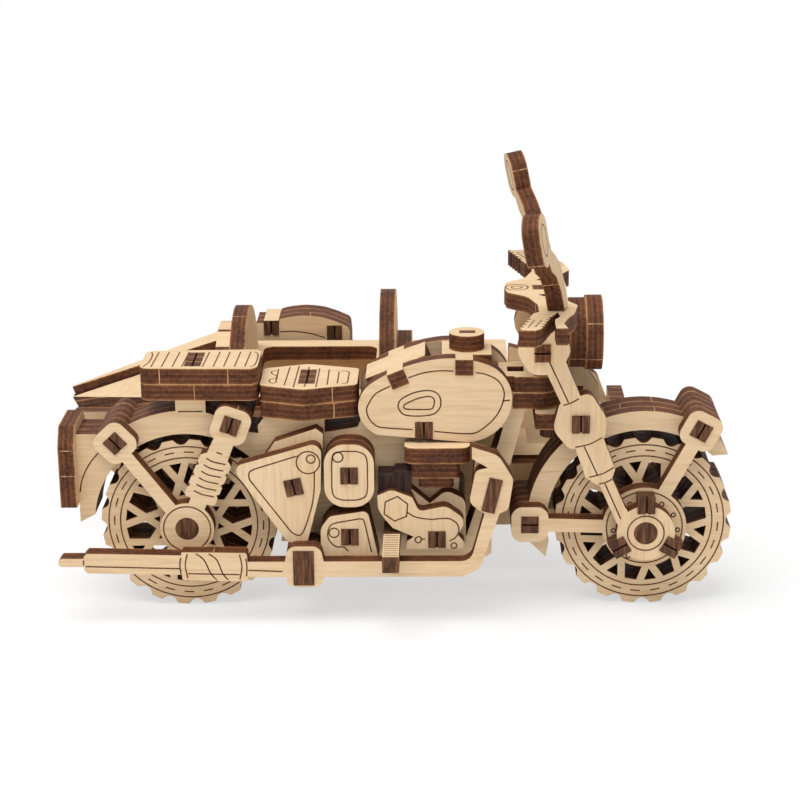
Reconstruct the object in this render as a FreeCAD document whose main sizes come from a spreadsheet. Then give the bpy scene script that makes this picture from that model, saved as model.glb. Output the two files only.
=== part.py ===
import FreeCAD, Part
import math
import os
import Sketcher

# Plywood construction model of a motorcycle with a sidecar.
# +X points to the front wheel, +Y to the sidecar and +Z up. The floor is Z = 0.
# In the drawing functions X is counted from midway between the axles and Y from the
# middle of the motorcycle; put() moves every piece from there to the part's origin.

V = FreeCAD.Vector
os.makedirs("parts", exist_ok=True)
doc = FreeCAD.newDocument("SidecarMotorcycle")

# Driving sizes, in millimetres and degrees
SIZES = (
    ("ply", 4.0),                # sheet that all plates are cut from
    ("wheel_ply", 3.8),          # sanded wheel plates, so that the wheels run freely
    ("peg", 4.2),                # side of the square pegs and tabs
    ("slit_width", 0.5),         # saw cut that lets a peg's end spring
    ("slit_depth", 1.6),
    ("peg_proud", 0.3),          # how far a peg stands out of the plate that it holds
    ("hole_play", 0.02),         # between a peg or a tab and its hole, on each side
    ("wheelbase", 111.4),
    ("wheel_radius", 21.6),      # over the teeth
    ("tread_depth", 1.4),
    ("teeth", 20),
    ("rim_radius", 15.5),        # inner edge of the rim
    ("hub_radius", 7.2),         # outer edge of the hub
    ("spoke_width", 1.8),
    ("spoke_lean", 28.0),        # of each crossed spoke from its radius
    ("spokes", 10),              # crosses
    ("axle_radius", 2.8),
    ("axle_clearance", 0.08),
    ("pin_clearance", 0.06),     # round the steering pin
    ("fender_gap", 1.5),         # from the teeth to the fender's inner edge
    ("fender_width", 5.9),
    ("foot_gap", 8.0),           # from the front fender back to the foot of the down tube
    ("core_half", 6.0),          # half the three-plate frame
    ("rail_bottom", 12.5),       # underside of the frame's lower rail
    ("tank_half", 10.0),
    ("leg_outer", 14.0),         # outer face of the fork legs
    ("steer_x", 33.0),           # upright steering pin, with the front axle at its drawn place
    ("steer_radius", 2.4),
    ("head_top", 4.4),           # top of the frame's head over the fenders
    ("bar_top", 28.8),           # top of the handlebar over the fenders
    ("bar_half", 38.0),
    ("seat_top", 6.7),           # top of the rider's seat over the rear fender
    ("pillion_top", 11.2),       # top of the pillion seat over the rear fender
    ("exhaust_outer", 18.0),
    ("car_near", 16.0),          # outer face of the sidecar's near wall
    ("car_far", 76.0),           # outer face of its far wall
    ("car_belt", 45.9),          # top of the deck plate
    ("car_floor", 20.0),         # top of the floor plate
    ("car_axle_x", -29.5),
    ("car_wheel_gap", 0.5),      # between the wheel guard and the wheel
    ("ridge_width", 10.0),       # of the narrow sheet along the top of the sidecar
    ("centre_x", -7.4),          # middle of the whole model in the drawing coordinates
    ("centre_y", 28.95),
)

sheet = doc.addObject("Spreadsheet::Sheet", "Sizes")
for row, (alias, value) in enumerate(SIZES, 1):
    sheet.set("A%d" % row, alias)
    sheet.set("B%d" % row, str(value))
    sheet.setAlias("B%d" % row, alias)
doc.recompute()


def size(alias):
    """A driving size, read back from the sheet."""
    return float(sheet.get(alias))


PLY = size("ply")
PEG = size("peg")
PROUD = size("peg_proud")
PLAY = size("hole_play")
DRAWN_AXLE_X = 55.7
AXLE_X = size("wheelbase") / 2
AXLE_Z = size("wheel_radius")
CORE = size("core_half")
STAY = CORE + PLY
TANK = size("tank_half")
LEG = size("leg_outer")
PIN_X = size("steer_x") + AXLE_X - DRAWN_AXLE_X
RAIL = size("rail_bottom")
FENDER_IN = size("wheel_radius") + size("fender_gap")
FENDER_OUT = FENDER_IN + size("fender_width")
FENDER_TOP = AXLE_Z + FENDER_OUT
HEAD_TOP = FENDER_TOP + size("head_top")
BAR_TOP = FENDER_TOP + size("bar_top")
SEAT_TOP = FENDER_TOP + size("seat_top")
PILLION_TOP = FENDER_TOP + size("pillion_top")
CAR_NEAR = size("car_near")
CAR_FAR = size("car_far")
CAR_MIDDLE = (CAR_NEAR + CAR_FAR) / 2
BELT = size("car_belt")
FLOOR = size("car_floor")

# Stations that the outlines are drawn from: the drawn place and the place that the sizes give.
# Along X: rear axle, front of the rear wheel arch, foot of the down tube, steering pin, front axle
STATIONS_X = ((-DRAWN_AXLE_X, -AXLE_X), (-32.6, FENDER_IN - AXLE_X),
              (18.7, AXLE_X - FENDER_OUT - size("foot_gap")), (33.0, PIN_X), (DRAWN_AXLE_X, AXLE_X))
# Along Z: floor, lower rail, axles, top of the fenders, top of the head, handlebar
STATIONS_Z = ((0.0, 0.0), (12.5, RAIL), (21.6, AXLE_Z), (50.6, FENDER_TOP), (55.0, HEAD_TOP), (79.4, BAR_TOP))

PIECES = []


# Shared drawing steps

def polar(cx, cz, radius, degrees):
    """A point on a circle; 0 degrees points forward and 90 up."""
    a = math.radians(degrees)
    return (cx + radius * math.cos(a), cz + radius * math.sin(a))


def station(value, stations):
    """Where a drawn coordinate lies between the stations on either side of it."""
    (drawn0, real0), (drawn1, real1) = stations[0], stations[-1]
    if value <= drawn0:
        return value + real0 - drawn0
    if value >= drawn1:
        return value + real1 - drawn1
    for (drawn0, real0), (drawn1, real1) in zip(stations, stations[1:]):
        if value <= drawn1:
            return real0 + (real1 - real0) * (value - drawn0) / (drawn1 - drawn0)


def at_x(x):
    return station(x, STATIONS_X)


def at_z(z):
    return station(z, STATIONS_Z)


def fit(corners):
    """Drawn corners of an upright outline, moved with the stations; roundings and marks are kept."""
    return [type(c)((at_x(c[0]), at_z(c[1])) + tuple(c[2:])) for c in corners]


def lay(corners):
    """Drawn corners of a level outline, moved along X with the stations."""
    return [type(c)((at_x(c[0]),) + tuple(c[1:])) for c in corners]


def mirrored(corners):
    """A level outline in X and Y completed by its mirror image."""
    return list(corners) + [(c[0], -c[1]) + tuple(c[2:]) for c in reversed(corners)]


def arched(corners):
    """A cross outline in Y and Z completed by its mirror image."""
    return list(corners) + [(-c[0],) + tuple(c[1:]) for c in reversed(corners)]


def rounded(corners):
    """Edges of a closed outline; a third number in a corner is its rounding radius."""
    n = len(corners)
    spans = []
    for i, corner in enumerate(corners):
        here = V(corner[0], corner[1], 0)
        radius = corner[2] if len(corner) > 2 else 0.0
        if radius <= 0:
            spans.append((here, None, here))
            continue
        before = V(*corners[i - 1][:2], 0)
        after = V(*corners[(i + 1) % n][:2], 0)
        a = V(before - here).normalize()
        b = V(after - here).normalize()
        half = a.getAngle(b) / 2
        room = 0.49 * min((before - here).Length, (after - here).Length)
        cut = min(radius / math.tan(half), room)
        radius = cut * math.tan(half)
        axis = (a + b).normalize()
        middle = here + axis * (radius / math.sin(half) - radius)
        spans.append((here + a * cut, middle, here + b * cut))
    edges = []
    for i, (start, middle, end) in enumerate(spans):
        if middle is not None:
            edges.append(Part.Arc(start, middle, end))
        following = spans[(i + 1) % n][0]
        if (following - end).Length > 1e-6:
            edges.append(Part.LineSegment(end, following))
    return edges


def path(points):
    """Edges through points; one given as a list bends its stretch into an arc."""
    edges = []
    last = V(*points[0], 0)
    bend = None
    for point in list(points[1:]) + [points[0]]:
        here = V(*point, 0)
        if isinstance(point, list):
            bend = here
            continue
        edges.append(Part.Arc(last, bend, here) if bend else Part.LineSegment(last, here))
        last = here
        bend = None
    return edges


def turned_box(cx, cz, half_x, half_z, turn=0.0, radius=0.0):
    """Corners of a rectangle about a centre, turned by an angle."""
    c, s = math.cos(math.radians(turn)), math.sin(math.radians(turn))
    corners = ((-half_x, -half_z), (half_x, -half_z), (half_x, half_z), (-half_x, half_z))
    return [(cx + c * u - s * w, cz + s * u + c * w, radius) for u, w in corners]


def knob(cx, cz, turn):
    """Corners of the soft square round a stay's peg."""
    return turned_box(cx, cz, KNOB / 2, KNOB / 2, turn, KNOB_ROUNDING)


def lug(cx, cz, turn):
    """The knob's outline on a plate behind it, with its roundings cut in chords."""
    corners = []
    for quarter in range(4):
        start = turn + 90 * quarter
        middle = polar(cx, cz, (KNOB / 2 - KNOB_ROUNDING) * math.sqrt(2), start + 45)
        corners += [polar(*middle, KNOB_ROUNDING, start + 30 * k) for k in range(4)]
    return corners


def square(cx, cz, side, turn=0.0):
    """Corners of a square hole or peg end."""
    return turned_box(cx, cz, side / 2, side / 2, turn)


def box(x0, z0, x1, z1, radius=0.0):
    """Corners of an upright rectangle with equal roundings."""
    return [(x0, z0, radius), (x1, z0, radius), (x1, z1, radius), (x0, z1, radius)]


def circle(cx, cz, radius):
    """A full circle as a list of one edge."""
    return [Part.Circle(V(cx, cz, 0), V(0, 0, 1), radius)]


def arc(cx, cz, radius, start, end):
    """A circular edge between two angles."""
    middle = (start + end) / 2
    points = [V(*polar(cx, cz, radius, a), 0) for a in (start, middle, end)]
    return Part.Arc(*points)


def peg_holes(pegs):
    """Square holes for a row of pegs."""
    return [square(x, z, PEG + 2 * PLAY, turn) for x, z, turn in pegs]


# Features on a body

def origin_plane(body, role):
    """One of a body's own origin planes."""
    return next(f for f in body.Origin.OriginFeatures if f.Role == role)


def draw(body, name, role, loops, shift=0.0):
    """A sketch on one of the body's own planes, from corner lists or edge lists."""
    sketch = body.newObject("Sketcher::SketchObject", name)
    sketch.AttachmentSupport = [(origin_plane(body, role), "")]
    sketch.MapMode = "FlatFace"
    if shift:
        sketch.AttachmentOffset = FreeCAD.Placement(V(0, 0, shift), FreeCAD.Rotation())
    for loop in loops:
        edges = rounded(loop) if isinstance(loop[0], tuple) else loop
        for edge in edges:
            sketch.addGeometry(edge, False)
    sketch.Visibility = False
    return sketch


def set_length(feature, length):
    """A plain number, or an expression that keeps its tie to the sheet."""
    if isinstance(length, str):
        feature.setExpression("Length", length)
    else:
        feature.Length = length


def add(body, name, role, loops, length="Sizes.ply", shift=0.0):
    """A pad on a body, started at a distance from its base plane."""
    pad = body.newObject("PartDesign::Pad", name)
    pad.Profile = draw(body, name + "_outline", role, loops, shift)
    set_length(pad, length)
    body.Tip = pad
    return pad


def carve(body, name, role, loops, length, shift=0.0, forward=True):
    """A pocket; forward cuts along the plane's normal, the way that the pads grow."""
    pocket = body.newObject("PartDesign::Pocket", name)
    pocket.Profile = draw(body, name + "_outline", role, loops, shift)
    set_length(pocket, length)
    pocket.Reversed = forward
    body.Tip = pocket
    return pocket


def new_body(name):
    body = doc.addObject("PartDesign::Body", name)
    body.Label = name
    body.AllowCompound = True
    return body


def cut_plate(name, role, groups, thickness="Sizes.ply", holes=()):
    """A plate in a body of its own: outline groups joined one after the other, then the holes."""
    body = new_body(name)
    for k, loops in enumerate(groups, 1):
        add(body, "%s_sheet%d" % (name, k), role, loops, thickness)
    if holes:
        carve(body, name + "_holes", role, holes, thickness)
    return body


def put(piece, x, y, z, turn=None):
    """Move a piece from the drawing coordinates to its place in the part."""
    base = V(x - size("centre_x"), y - size("centre_y"), z)
    piece.Placement = FreeCAD.Placement(base, turn or FreeCAD.Rotation())
    PIECES.append(piece)
    return piece


def side_plate(name, groups, near, plies=1, holes=()):
    """An upright plate along the model; near is the Y of its face towards -Y."""
    body = cut_plate(name, "XZ_Plane", groups, "%d * Sizes.ply" % plies, holes)
    return put(body, 0, near + plies * PLY, 0)


def flat_plate(name, groups, bottom, holes=()):
    """A level plate; its outline is in X and Y and bottom is the Z of its underside."""
    return put(cut_plate(name, "XY_Plane", groups, "Sizes.ply", holes), 0, 0, bottom)


def cross_plate(name, groups, rear, holes=()):
    """An upright plate across the model; its outline is in Y and Z."""
    return put(cut_plate(name, "YZ_Plane", groups, "Sizes.ply", holes), rear, 0, 0)


def pegs_along_y(body, label, pegs, near, far, near_slit=True, far_slit=True):
    """Square pegs across the model in one body, slit at their ends."""
    side = size("peg")
    add(body, label, "XZ_Plane", [square(x, z, side, turn) for x, z, turn in pegs], far - near, -far)
    slits = [turned_box(x, z, size("slit_width") / 2, side, turn) for x, z, turn in pegs]
    if near_slit:
        carve(body, label + "_near_slit", "XZ_Plane", slits, "Sizes.slit_depth", -near, False)
    if far_slit:
        carve(body, label + "_far_slit", "XZ_Plane", slits, "Sizes.slit_depth", -far, True)


# Places that several pieces share: each square peg is X, Z and its turn in degrees

KNOB = 9.0
KNOB_ROUNDING = 0.3 * KNOB
TANK_SLOPE = 22.0
TANK_SLOPE_LENGTH = (at_x(4.1) - at_x(-10.2)) / math.cos(math.radians(TANK_SLOPE))
CAP_RADIUS = 4.25
SHOCK_START = 7.9
SHOCK_RIDGES = 4
SHOCK_PITCH = 2.95
YOKE_GAP = 0.3
FOOT_REACH = 30.0
END_RADIUS = 7.0
EAR_Z = 67.0
TAIL_FRONT = -52.0
BOARD_FRONT = 2.3 - AXLE_X - FENDER_OUT
PILLION_POST = 2.3 - AXLE_X
RIDER_POST = at_x(-26.0)
TOOTH_TURN = 1.6
FRONT_TURN = 98.1
REAR_TURN = 100.5
REAR_ARMS = (126.9, 66.5)
FENDER_ARMS = (178.4, 62.0)
CROSS_X = at_x(28.4)
LAMP_X = at_x(37.1)
COVER_PIN_PLACES = [(at_x(x), at_z(z), turn) for x, z, turn in (
    (-29.1, 33.7, 12.0), (-15.7, 36.6, 0.0), (-15.8, 20.9, 0.0), (5.3, 20.2, 0.0))]
REAR_PEGS = [polar(-AXLE_X, AXLE_Z, FENDER_OUT - 1.4, REAR_ARMS[0]) + (43.0,),
             polar(-AXLE_X, AXLE_Z, FENDER_OUT - 0.2, REAR_ARMS[1]) + (-20.0,)]
TANK_PEG = (at_x(2.3), at_z(46.7), 0.0)
FENDER_PEGS = [polar(AXLE_X, AXLE_Z, FENDER_OUT - 1.2, FENDER_ARMS[0]) + (90.0,),
               polar(AXLE_X, AXLE_Z, FENDER_OUT - 1.2, FENDER_ARMS[1]) + (-28.0,)]
LEG_PEGS = [(at_x(39.6), at_z(49.4), 0.0)]
END_PEGS = [polar(AXLE_X, AXLE_Z, END_RADIUS + 0.2, a) + (a - 90.0,) for a in (90, 210, 330)]
EAR_HOLE = box(CROSS_X - PLAY, at_z(EAR_Z) - PEG / 2 - PLAY, CROSS_X + PLY + PLAY, at_z(EAR_Z) + PEG / 2 + PLAY)
# Clamp pegs of the exhaust: centre, half their length and height, turn
EXHAUST_PEGS = (
    (at_x(-26.9), at_z(14.45), (at_x(-24.4) - at_x(-29.4)) / 2, (at_z(18.85) - at_z(10.05)) / 2, 0.0),
    (at_x(18.5), at_z(32.9), 1.6, (at_z(37.2) - at_z(28.6)) / 2, -13.5))
GUARD_PEGS = [(size("car_axle_x") - 11.4, at_z(48.5), 0.0), (size("car_axle_x") + 6.2, at_z(46.9), 0.0)]


# Wheels

def tooth_outline(radius, depth, count, turn):
    """Tyre outline: broad teeth with short rounded valleys between them."""
    step = 360.0 / count
    edges = []
    for k in range(count):
        crest0, crest1, foot0, valley, foot1, following = (
            V(*polar(0, 0, radius - fall * depth, (k + share) * step + turn), 0)
            for fall, share in ((0, -0.2), (0, 0.2), (0.71, 0.33), (1, 0.5), (0.71, 0.67), (0, 0.8)))
        edges.append(Part.LineSegment(crest0, crest1))
        edges.append(Part.LineSegment(crest1, foot0))
        edges.append(Part.Arc(foot0, valley, foot1))
        edges.append(Part.LineSegment(foot1, following))
    return edges


def spoke_windows(rim, hub, width, lean, count):
    """Openings between crosses of two spokes that lean to either side of their radius."""
    slope = math.tan(math.radians(lean))
    end = width / 2 / math.sin(math.radians(lean))
    side = width / 2 / math.cos(math.radians(lean))
    middle = hub + 0.42 * (rim - hub)
    step = 360.0 / count
    # Where a spoke's side meets the rim, seen along and across the cross's own radius
    shift = side - middle * slope
    grow = 1 + slope ** 2
    rim_along = (math.sqrt(slope ** 2 * shift ** 2 - grow * (shift ** 2 - rim ** 2)) - slope * shift) / grow
    rim_turn = math.degrees(math.acos(rim_along / rim))
    side_turn = math.degrees(math.atan2(side, middle))
    low = (side + middle * slope) / (math.tan(math.radians(step / 2)) + slope) / math.cos(math.radians(step / 2))
    loops = []
    for k in range(count):
        a = k * step
        for apex, base in ((middle + end, rim), (middle - end, hub)):
            half = abs(base - apex) * slope
            corners = ((apex, 0), (base, -half), (base, half))
            loops.append([polar(0, 0, math.hypot(u, w), a + math.degrees(math.atan2(w, u))) for u, w in corners])
        loops.append([
            polar(0, 0, rim, a + rim_turn), polar(0, 0, rim, a + step - rim_turn),
            polar(0, 0, math.hypot(middle, side), a + step - side_turn), polar(0, 0, low, a + step / 2),
            polar(0, 0, math.hypot(middle, side), a + side_turn),
        ])
    return loops


def wheel(name, x, middle_y, turn):
    """Three toothed plates side by side, with a lattice of crossed spokes."""
    loops = [tooth_outline(size("wheel_radius"), size("tread_depth"), int(size("teeth")), TOOTH_TURN)]
    loops += spoke_windows(size("rim_radius"), size("hub_radius"), size("spoke_width"), size("spoke_lean"),
                           int(size("spokes")))
    loops.append(circle(0, 0, size("axle_radius") + PLAY))
    body = cut_plate(name + "_plates", "XZ_Plane", [loops], "3 * Sizes.wheel_ply")
    put(body, x, middle_y + 1.5 * size("wheel_ply"), AXLE_Z, FreeCAD.Rotation(V(0, -1, 0), turn))


def axle(name, x, near, far):
    """Round axle that turns with its wheel, flush with the outer faces."""
    shaft = doc.addObject("Part::Cylinder", name)
    shaft.Label = name
    shaft.setExpression("Radius", "Sizes.axle_radius")
    shaft.Height = far - near
    put(shaft, x, far, AXLE_Z, FreeCAD.Rotation(V(1, 0, 0), 90))


# Motorcycle frame

def frame_plate(name, near):
    """One of the three plates that make the frame, the rear fender and the posts under the seats."""
    x, z = -AXLE_X, AXLE_Z
    under_pillion = PILLION_TOP - 2 * PLY
    under_rider = SEAT_TOP - 2 * PLY
    tail_top = at_z(44.7)
    inner0, inner1 = polar(x, z, FENDER_IN, 174), polar(x, z, FENDER_IN, -12)
    outer0 = polar(x, z, FENDER_OUT, math.degrees(math.asin((tail_top - z) / FENDER_OUT)))
    outer0 = (2 * x - outer0[0], outer0[1])
    post0, post1 = x - 2.1, x + 5.2
    post_z = z + math.sqrt(FENDER_OUT ** 2 - (post0 - x) ** 2)
    front = polar(x, z, FENDER_OUT, 62)
    along = [(post0, under_pillion)] + post(PILLION_POST, under_pillion, PILLION_TOP) + [
        (post1, under_pillion), (post1, z + math.sqrt(FENDER_OUT ** 2 - (post1 - x) ** 2)), front,
        (at_x(-40.6), at_z(45.2)), (at_x(-37.9), at_z(44.8)), (at_x(-38.0), at_z(46.8)), (at_x(-36.6), at_z(48.6)),
        (at_x(-36.4), under_rider)] + post(RIDER_POST, under_rider, SEAT_TOP) + [
        (at_x(-21.8), under_rider), (at_x(-21.8), at_z(45.0)), (at_x(-13.8), at_z(46.3)), (at_x(-10.2), at_z(54.8)),
        slope_point(TANK_SLOPE_LENGTH, 0), (at_x(7.0), at_z(64.4) - PLY), (at_x(18.6), at_z(64.4) - PLY),
        (at_x(18.6), HEAD_TOP), (at_x(26.8), HEAD_TOP), (at_x(26.8), at_z(50.5)), (at_x(23.8), at_z(38.9)),
        (at_x(18.7), at_z(22.0)), (at_x(18.7), RAIL + 1.0), (at_x(17.5), RAIL), (at_x(-24.0), RAIL),
        (at_x(-26.5), RAIL + 4.0), inner1,
    ]
    points = [V(*p, 0) for p in along]
    edges = [arc(x, z, FENDER_OUT, math.degrees(math.atan2(outer0[1] - z, outer0[0] - x)),
                 math.degrees(math.atan2(post_z - z, post0 - x)))]
    edges.append(Part.LineSegment(V(post0, post_z, 0), points[0]))
    edges += [Part.LineSegment(a, b) for a, b in zip(points, points[1:])]
    edges.append(Part.Arc(V(*inner1, 0), V(*polar(x, z, FENDER_IN, 81), 0), V(*inner0, 0)))
    closing = [V(*p, 0) for p in (inner0, (BOARD_FRONT, z + 0.4), (BOARD_FRONT, tail_top), outer0)]
    edges += [Part.LineSegment(a, b) for a, b in zip(closing, closing[1:])]
    window = fit([(12.0, 46.0), (21.4, 46.0), (20.3, 42.0), (12.5, 18.0), (9.5, 18.0)])
    lugs = [[lug(px, pz, turn)] for px, pz, turn in REAR_PEGS]
    holes = peg_holes(COVER_PIN_PLACES + REAR_PEGS + [TANK_PEG])
    side_plate(name, [[edges, window]] + lugs, near, 1, holes)


def post(middle, bottom, top):
    """Corners of a tab that passes up through a seat, slit at its end."""
    half = PLY / 2
    slit = size("slit_width") / 2
    deep = top - size("slit_depth")
    return [(middle - half, bottom), (middle - half, top), (middle - slit, top), (middle - slit, deep),
            (middle + slit, deep), (middle + slit, top), (middle + half, top), (middle + half, bottom)]


def build_frame():
    for k, name in enumerate(("frame_plate_near", "frame_plate_middle", "frame_plate_far")):
        frame_plate(name, -CORE + k * PLY)


def frame_pegs():
    """Split pegs that lock the frame's plates, covers and stays, and the foot peg."""
    body = new_body("frame_pegs")
    pegs_along_y(body, "cover_pegs", COVER_PIN_PLACES, -LEG - PROUD, STAY + PROUD)
    pegs_along_y(body, "stay_pegs", REAR_PEGS + [TANK_PEG], -STAY - PROUD, STAY + PROUD)
    foot = fit([(-7.6, 18.0), (-3.6, 18.0), (-3.6, 22.0), (-7.6, 22.0)])
    add(body, "foot_peg", "XZ_Plane", [foot], FOOT_REACH - CORE, CORE)
    outer = size("exhaust_outer")
    for k, peg in enumerate(EXHAUST_PEGS, 1):
        add(body, "clamp_peg%d" % k, "XZ_Plane", [turned_box(*peg)], outer + PROUD - CORE, CORE)
    pegs_along_y(body, "guard_pegs", GUARD_PEGS, CAR_FAR - PROUD, CAR_FAR + 3 * PLY + PROUD)
    put(body, 0, 0, 0)


def number_board():
    """Blank upright board across the tail."""
    low, high = at_z(27.0), at_z(47.0)
    board = arched([(-9.5, low), (-9.5, high - 4.5), (-6.5, high)])
    cross_plate("tail_board", [[board]], BOARD_FRONT - PLY)


# Tank, seats, covers and exhaust

def slope_point(along, over):
    """A point in the tank's sloped plate, from the rear end of its underside."""
    foot = (at_x(-10.2), at_z(54.8))
    return polar(*polar(*foot, along, TANK_SLOPE), over, TANK_SLOPE + 90)


def tank():
    """Two side plates on the tabs of a sloped and a level plate, and the filler cap."""
    outline = [(at_x(c[0]), at_z(c[1])) if isinstance(c, tuple) else [at_x(c[0]), at_z(c[1])] for c in (
        (-8.8, 45.6), (12.2, 43.7), [20.3, 47.0], (23.4, 55.5), [21.4, 60.2], (17.0, 63.2), [10.4, 64.6], (3.9, 64.2),
        [-4.2, 61.8], (-10.0, 58.6), [-13.4, 52.2])]
    level = at_z(64.4) - PLY
    tab = PEG / 2
    sloped_tab = turned_box(*slope_point(TANK_SLOPE_LENGTH / 2, PLY), tab + PLAY, PLY + PLAY, TANK_SLOPE)
    level_tab = box(at_x(12.0) - tab - PLAY, level - PLAY, at_x(12.0) + tab + PLAY, level + 2 * PLY)
    peg_x, peg_z = TANK_PEG[:2]
    peg_notch = box(peg_x - tab - PLAY, peg_z - 2 * PEG, peg_x + tab + PLAY, peg_z + tab + PLAY)
    for name, near in (("tank_side_near", -TANK), ("tank_side_far", TANK - PLY)):
        side_plate(name, [[path(outline)]], near, 1, [sloped_tab, level_tab, peg_notch])
    inner = TANK - PLY
    outer = TANK + PROUD
    flat_plate("tank_top", [[box(at_x(6.7), -inner, at_x(18.6), inner)],
                                  [box(at_x(12.0) - tab, -outer, at_x(12.0) + tab, outer)]], level)
    middle = TANK_SLOPE_LENGTH / 2
    sloped = cut_plate("tank_slope", "XY_Plane", [[box(0, -inner, TANK_SLOPE_LENGTH, inner)],
                                                  [box(middle - tab, -outer, middle + tab, outer)]])
    foot = slope_point(0, 0)
    put(sloped, foot[0], 0, foot[1], FreeCAD.Rotation(V(0, 1, 0), -TANK_SLOPE))
    cap = doc.addObject("Part::Cylinder", "filler_cap")
    cap.Label = "filler_cap"
    cap.Radius = CAP_RADIUS
    cap.setExpression("Height", "Sizes.ply")
    put(cap, at_x(12.7), 0, level + PLY)


def seats():
    """Each seat is two level plates on a post of the frame."""
    pillion = mirrored([(-66.0, -7.6, 2.4), (-37.6, -8.4, 2.4)])
    rider = mirrored([(-37.2, -7.0, 1.5), (-26.5, -10.7, 3.5), (-13.7, -6.8, 1.5)])
    half = PLY / 2 + PLAY
    for label, outline, middle, top in (("pillion_seat", pillion, PILLION_POST, PILLION_TOP),
                                        ("rider_seat", rider, RIDER_POST, SEAT_TOP)):
        hole = box(middle - half, -CORE - PLAY, middle + half, CORE + PLAY)
        flat_plate(label + "_lower", [[lay(outline)]], top - 2 * PLY, [hole])
        flat_plate(label + "_upper", [[lay(outline)]], top - PLY, [hole])


def covers():
    """Layered covers of the engine bay, on the near side and mirrored on the far side."""
    triangle = fit([(-43.9, 38.9, 1.8), (-22.2, 45.2, 2.2), (-22.6, 33.0), (-26.2, 19.2, 1.5), (-30.9, 19.6, 2.0)])
    behind = fit([(-36.4, 40.0), (-33.7, 43.9), (-23.7, 47.2), (-22.0, 45.9), (-22.6, 33.0), (-27.5, 20.6), (-30.0, 24.0)])
    oval = fit(box(-21.7, 28.6, -9.7, 44.5, 5.0))
    gearbox = fit([(-22.8, 23.2, 3.5), (-20.6, 26.2, 2.0), (-11.4, 27.6, 1.5), (-8.8, 14.9), (-22.9, 14.9)])
    bottom = COVER_PIN_PLACES[3][1] - PEG / 2 - 0.4
    engine = fit([
        (-8.8, 28.1), (-9.0, 31.5), (-5.6, 33.0, 2.5), (-0.6, 31.0, 1.0), (1.0, 27.4, 1.5), (7.5, 28.8, 3.0),
        (12.4, 25.2, 3.0), (10.4, 21.3), (11.9, 19.5)]) + lay([(11.9, bottom), (-2.2, bottom)]) + fit([(-2.0, 19.7), (-0.3, 20.9),
        (-5.4, 23.2), (-7.5, 25.8)])
    engine_inner = fit([
        (-8.8, 30.0), (-7.6, 32.8, 1.5), (-4.1, 34.6, 2.0), (-0.6, 31.6), (3.6, 28.0), (7.6, 31.4, 2.5), (12.2, 29.0, 2.5),
    ]) + lay([(12.4, bottom), (-1.8, bottom)]) + fit([(-1.8, 20.6), (-3.4, 22.5), (-5.4, 23.4)])
    pins = peg_holes(COVER_PIN_PLACES)
    for label, outer, inner, pin in (("triangle", triangle, behind, 0), ("oval", oval, oval, 1),
                                     ("gearbox", gearbox, gearbox, 2), ("engine", engine, engine_inner, 3)):
        name = label + "_cover_near"
        body = new_body(name)
        add(body, label + "_outer_layer", "XZ_Plane", [outer])
        add(body, label + "_inner_layer", "XZ_Plane", [inner], "Sizes.ply", -PLY)
        carve(body, label + "_pin_hole", "XZ_Plane", [pins[pin]], "2 * Sizes.ply", -PLY)
        put(body, 0, -STAY, 0)
    side_plate("covers_far", [[behind], [oval], [gearbox], [engine_inner]], CORE, 1, pins)


def cylinder():
    """Level plates stacked as the cylinder's fins."""
    body = new_body("cylinder_head")
    top = at_z(39.5)
    add(body, "top_fin", "XY_Plane", [lay([(-2.4, -LEG), (13.3, -LEG), (13.3, -CORE), (-2.4, -CORE)])], "Sizes.ply", top)
    add(body, "lower_fin", "XY_Plane", [lay([(0.6, -LEG + 1.5), (10.8, -LEG + 1.5), (10.8, -CORE), (0.6, -CORE)])],
        "Sizes.ply", top - PLY)
    add(body, "rear_fin", "XY_Plane", [lay([(-8.3, -LEG + 2.5), (0.8, -LEG + 2.5), (0.8, -CORE), (-8.3, -CORE)])],
        "Sizes.ply", top - PLY - 1.0)
    put(body, 0, 0, 0)


def exhaust():
    """Silencer, pipe and bend in one plate, held away from the frame by two clamps."""
    outline = fit([
        (-86.2, 16.2), (-86.2, 15.4), (-85.7, 14.9), (-80.0, 14.9), (-80.0, 14.0), (-79.2, 13.2), (-56.4, 12.8),
        (-56.4, 11.4, 0.8), (-40.5, 11.0, 0.8),
        (-40.4, 12.1), (-31.4, 12.1), (-30.4, 9.5, 2.0), (-23.0, 9.5, 2.0), (-21.8, 12.1), (11.0, 12.1, 5.0),
        (15.6, 14.0, 3.0), (20.3, 28.3), (22.4, 29.3, 1.5), (23.6, 37.0, 3.0), (20.0, 43.0, 4.0),
        (13.7, 45.1), (13.7, 42.2), (17.5, 39.9), (14.6, 39.2, 1.5), (13.0, 31.0, 2.5), (16.7, 28.3),
        (13.4, 16.1, 3.0), (-22.0, 16.1), (-22.8, 20.0, 2.5), (-30.6, 20.0, 2.5), (-31.4, 16.1),
        (-40.4, 16.1), (-40.5, 18.4, 0.8), (-56.4, 18.6, 0.8), (-56.4, 17.8), (-79.2, 18.3), (-80.0, 17.5),
        (-80.0, 17.0), (-85.5, 17.0),
    ])
    lower = fit(box(-31.2, 9.7, -23.1, 19.1, 2.0))
    upper = fit([(14.6, 41.2), (13.8, 32.3), (16.9, 28.6), (21.8, 29.6), (23.0, 36.1), (19.5, 41.2)])
    near = -size("exhaust_outer")
    body = side_plate("exhaust_near", [[outline]], near)
    add(body, "clamps", "XZ_Plane", [lower, upper], -CORE - PLY - near, near + PLY + CORE)
    holes = [turned_box(x, z, w + PLAY, h + PLAY, turn) for x, z, w, h, turn in EXHAUST_PEGS]
    carve(body, "clamp_holes", "XZ_Plane", holes, -CORE - near, near + PLY + CORE)


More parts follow.
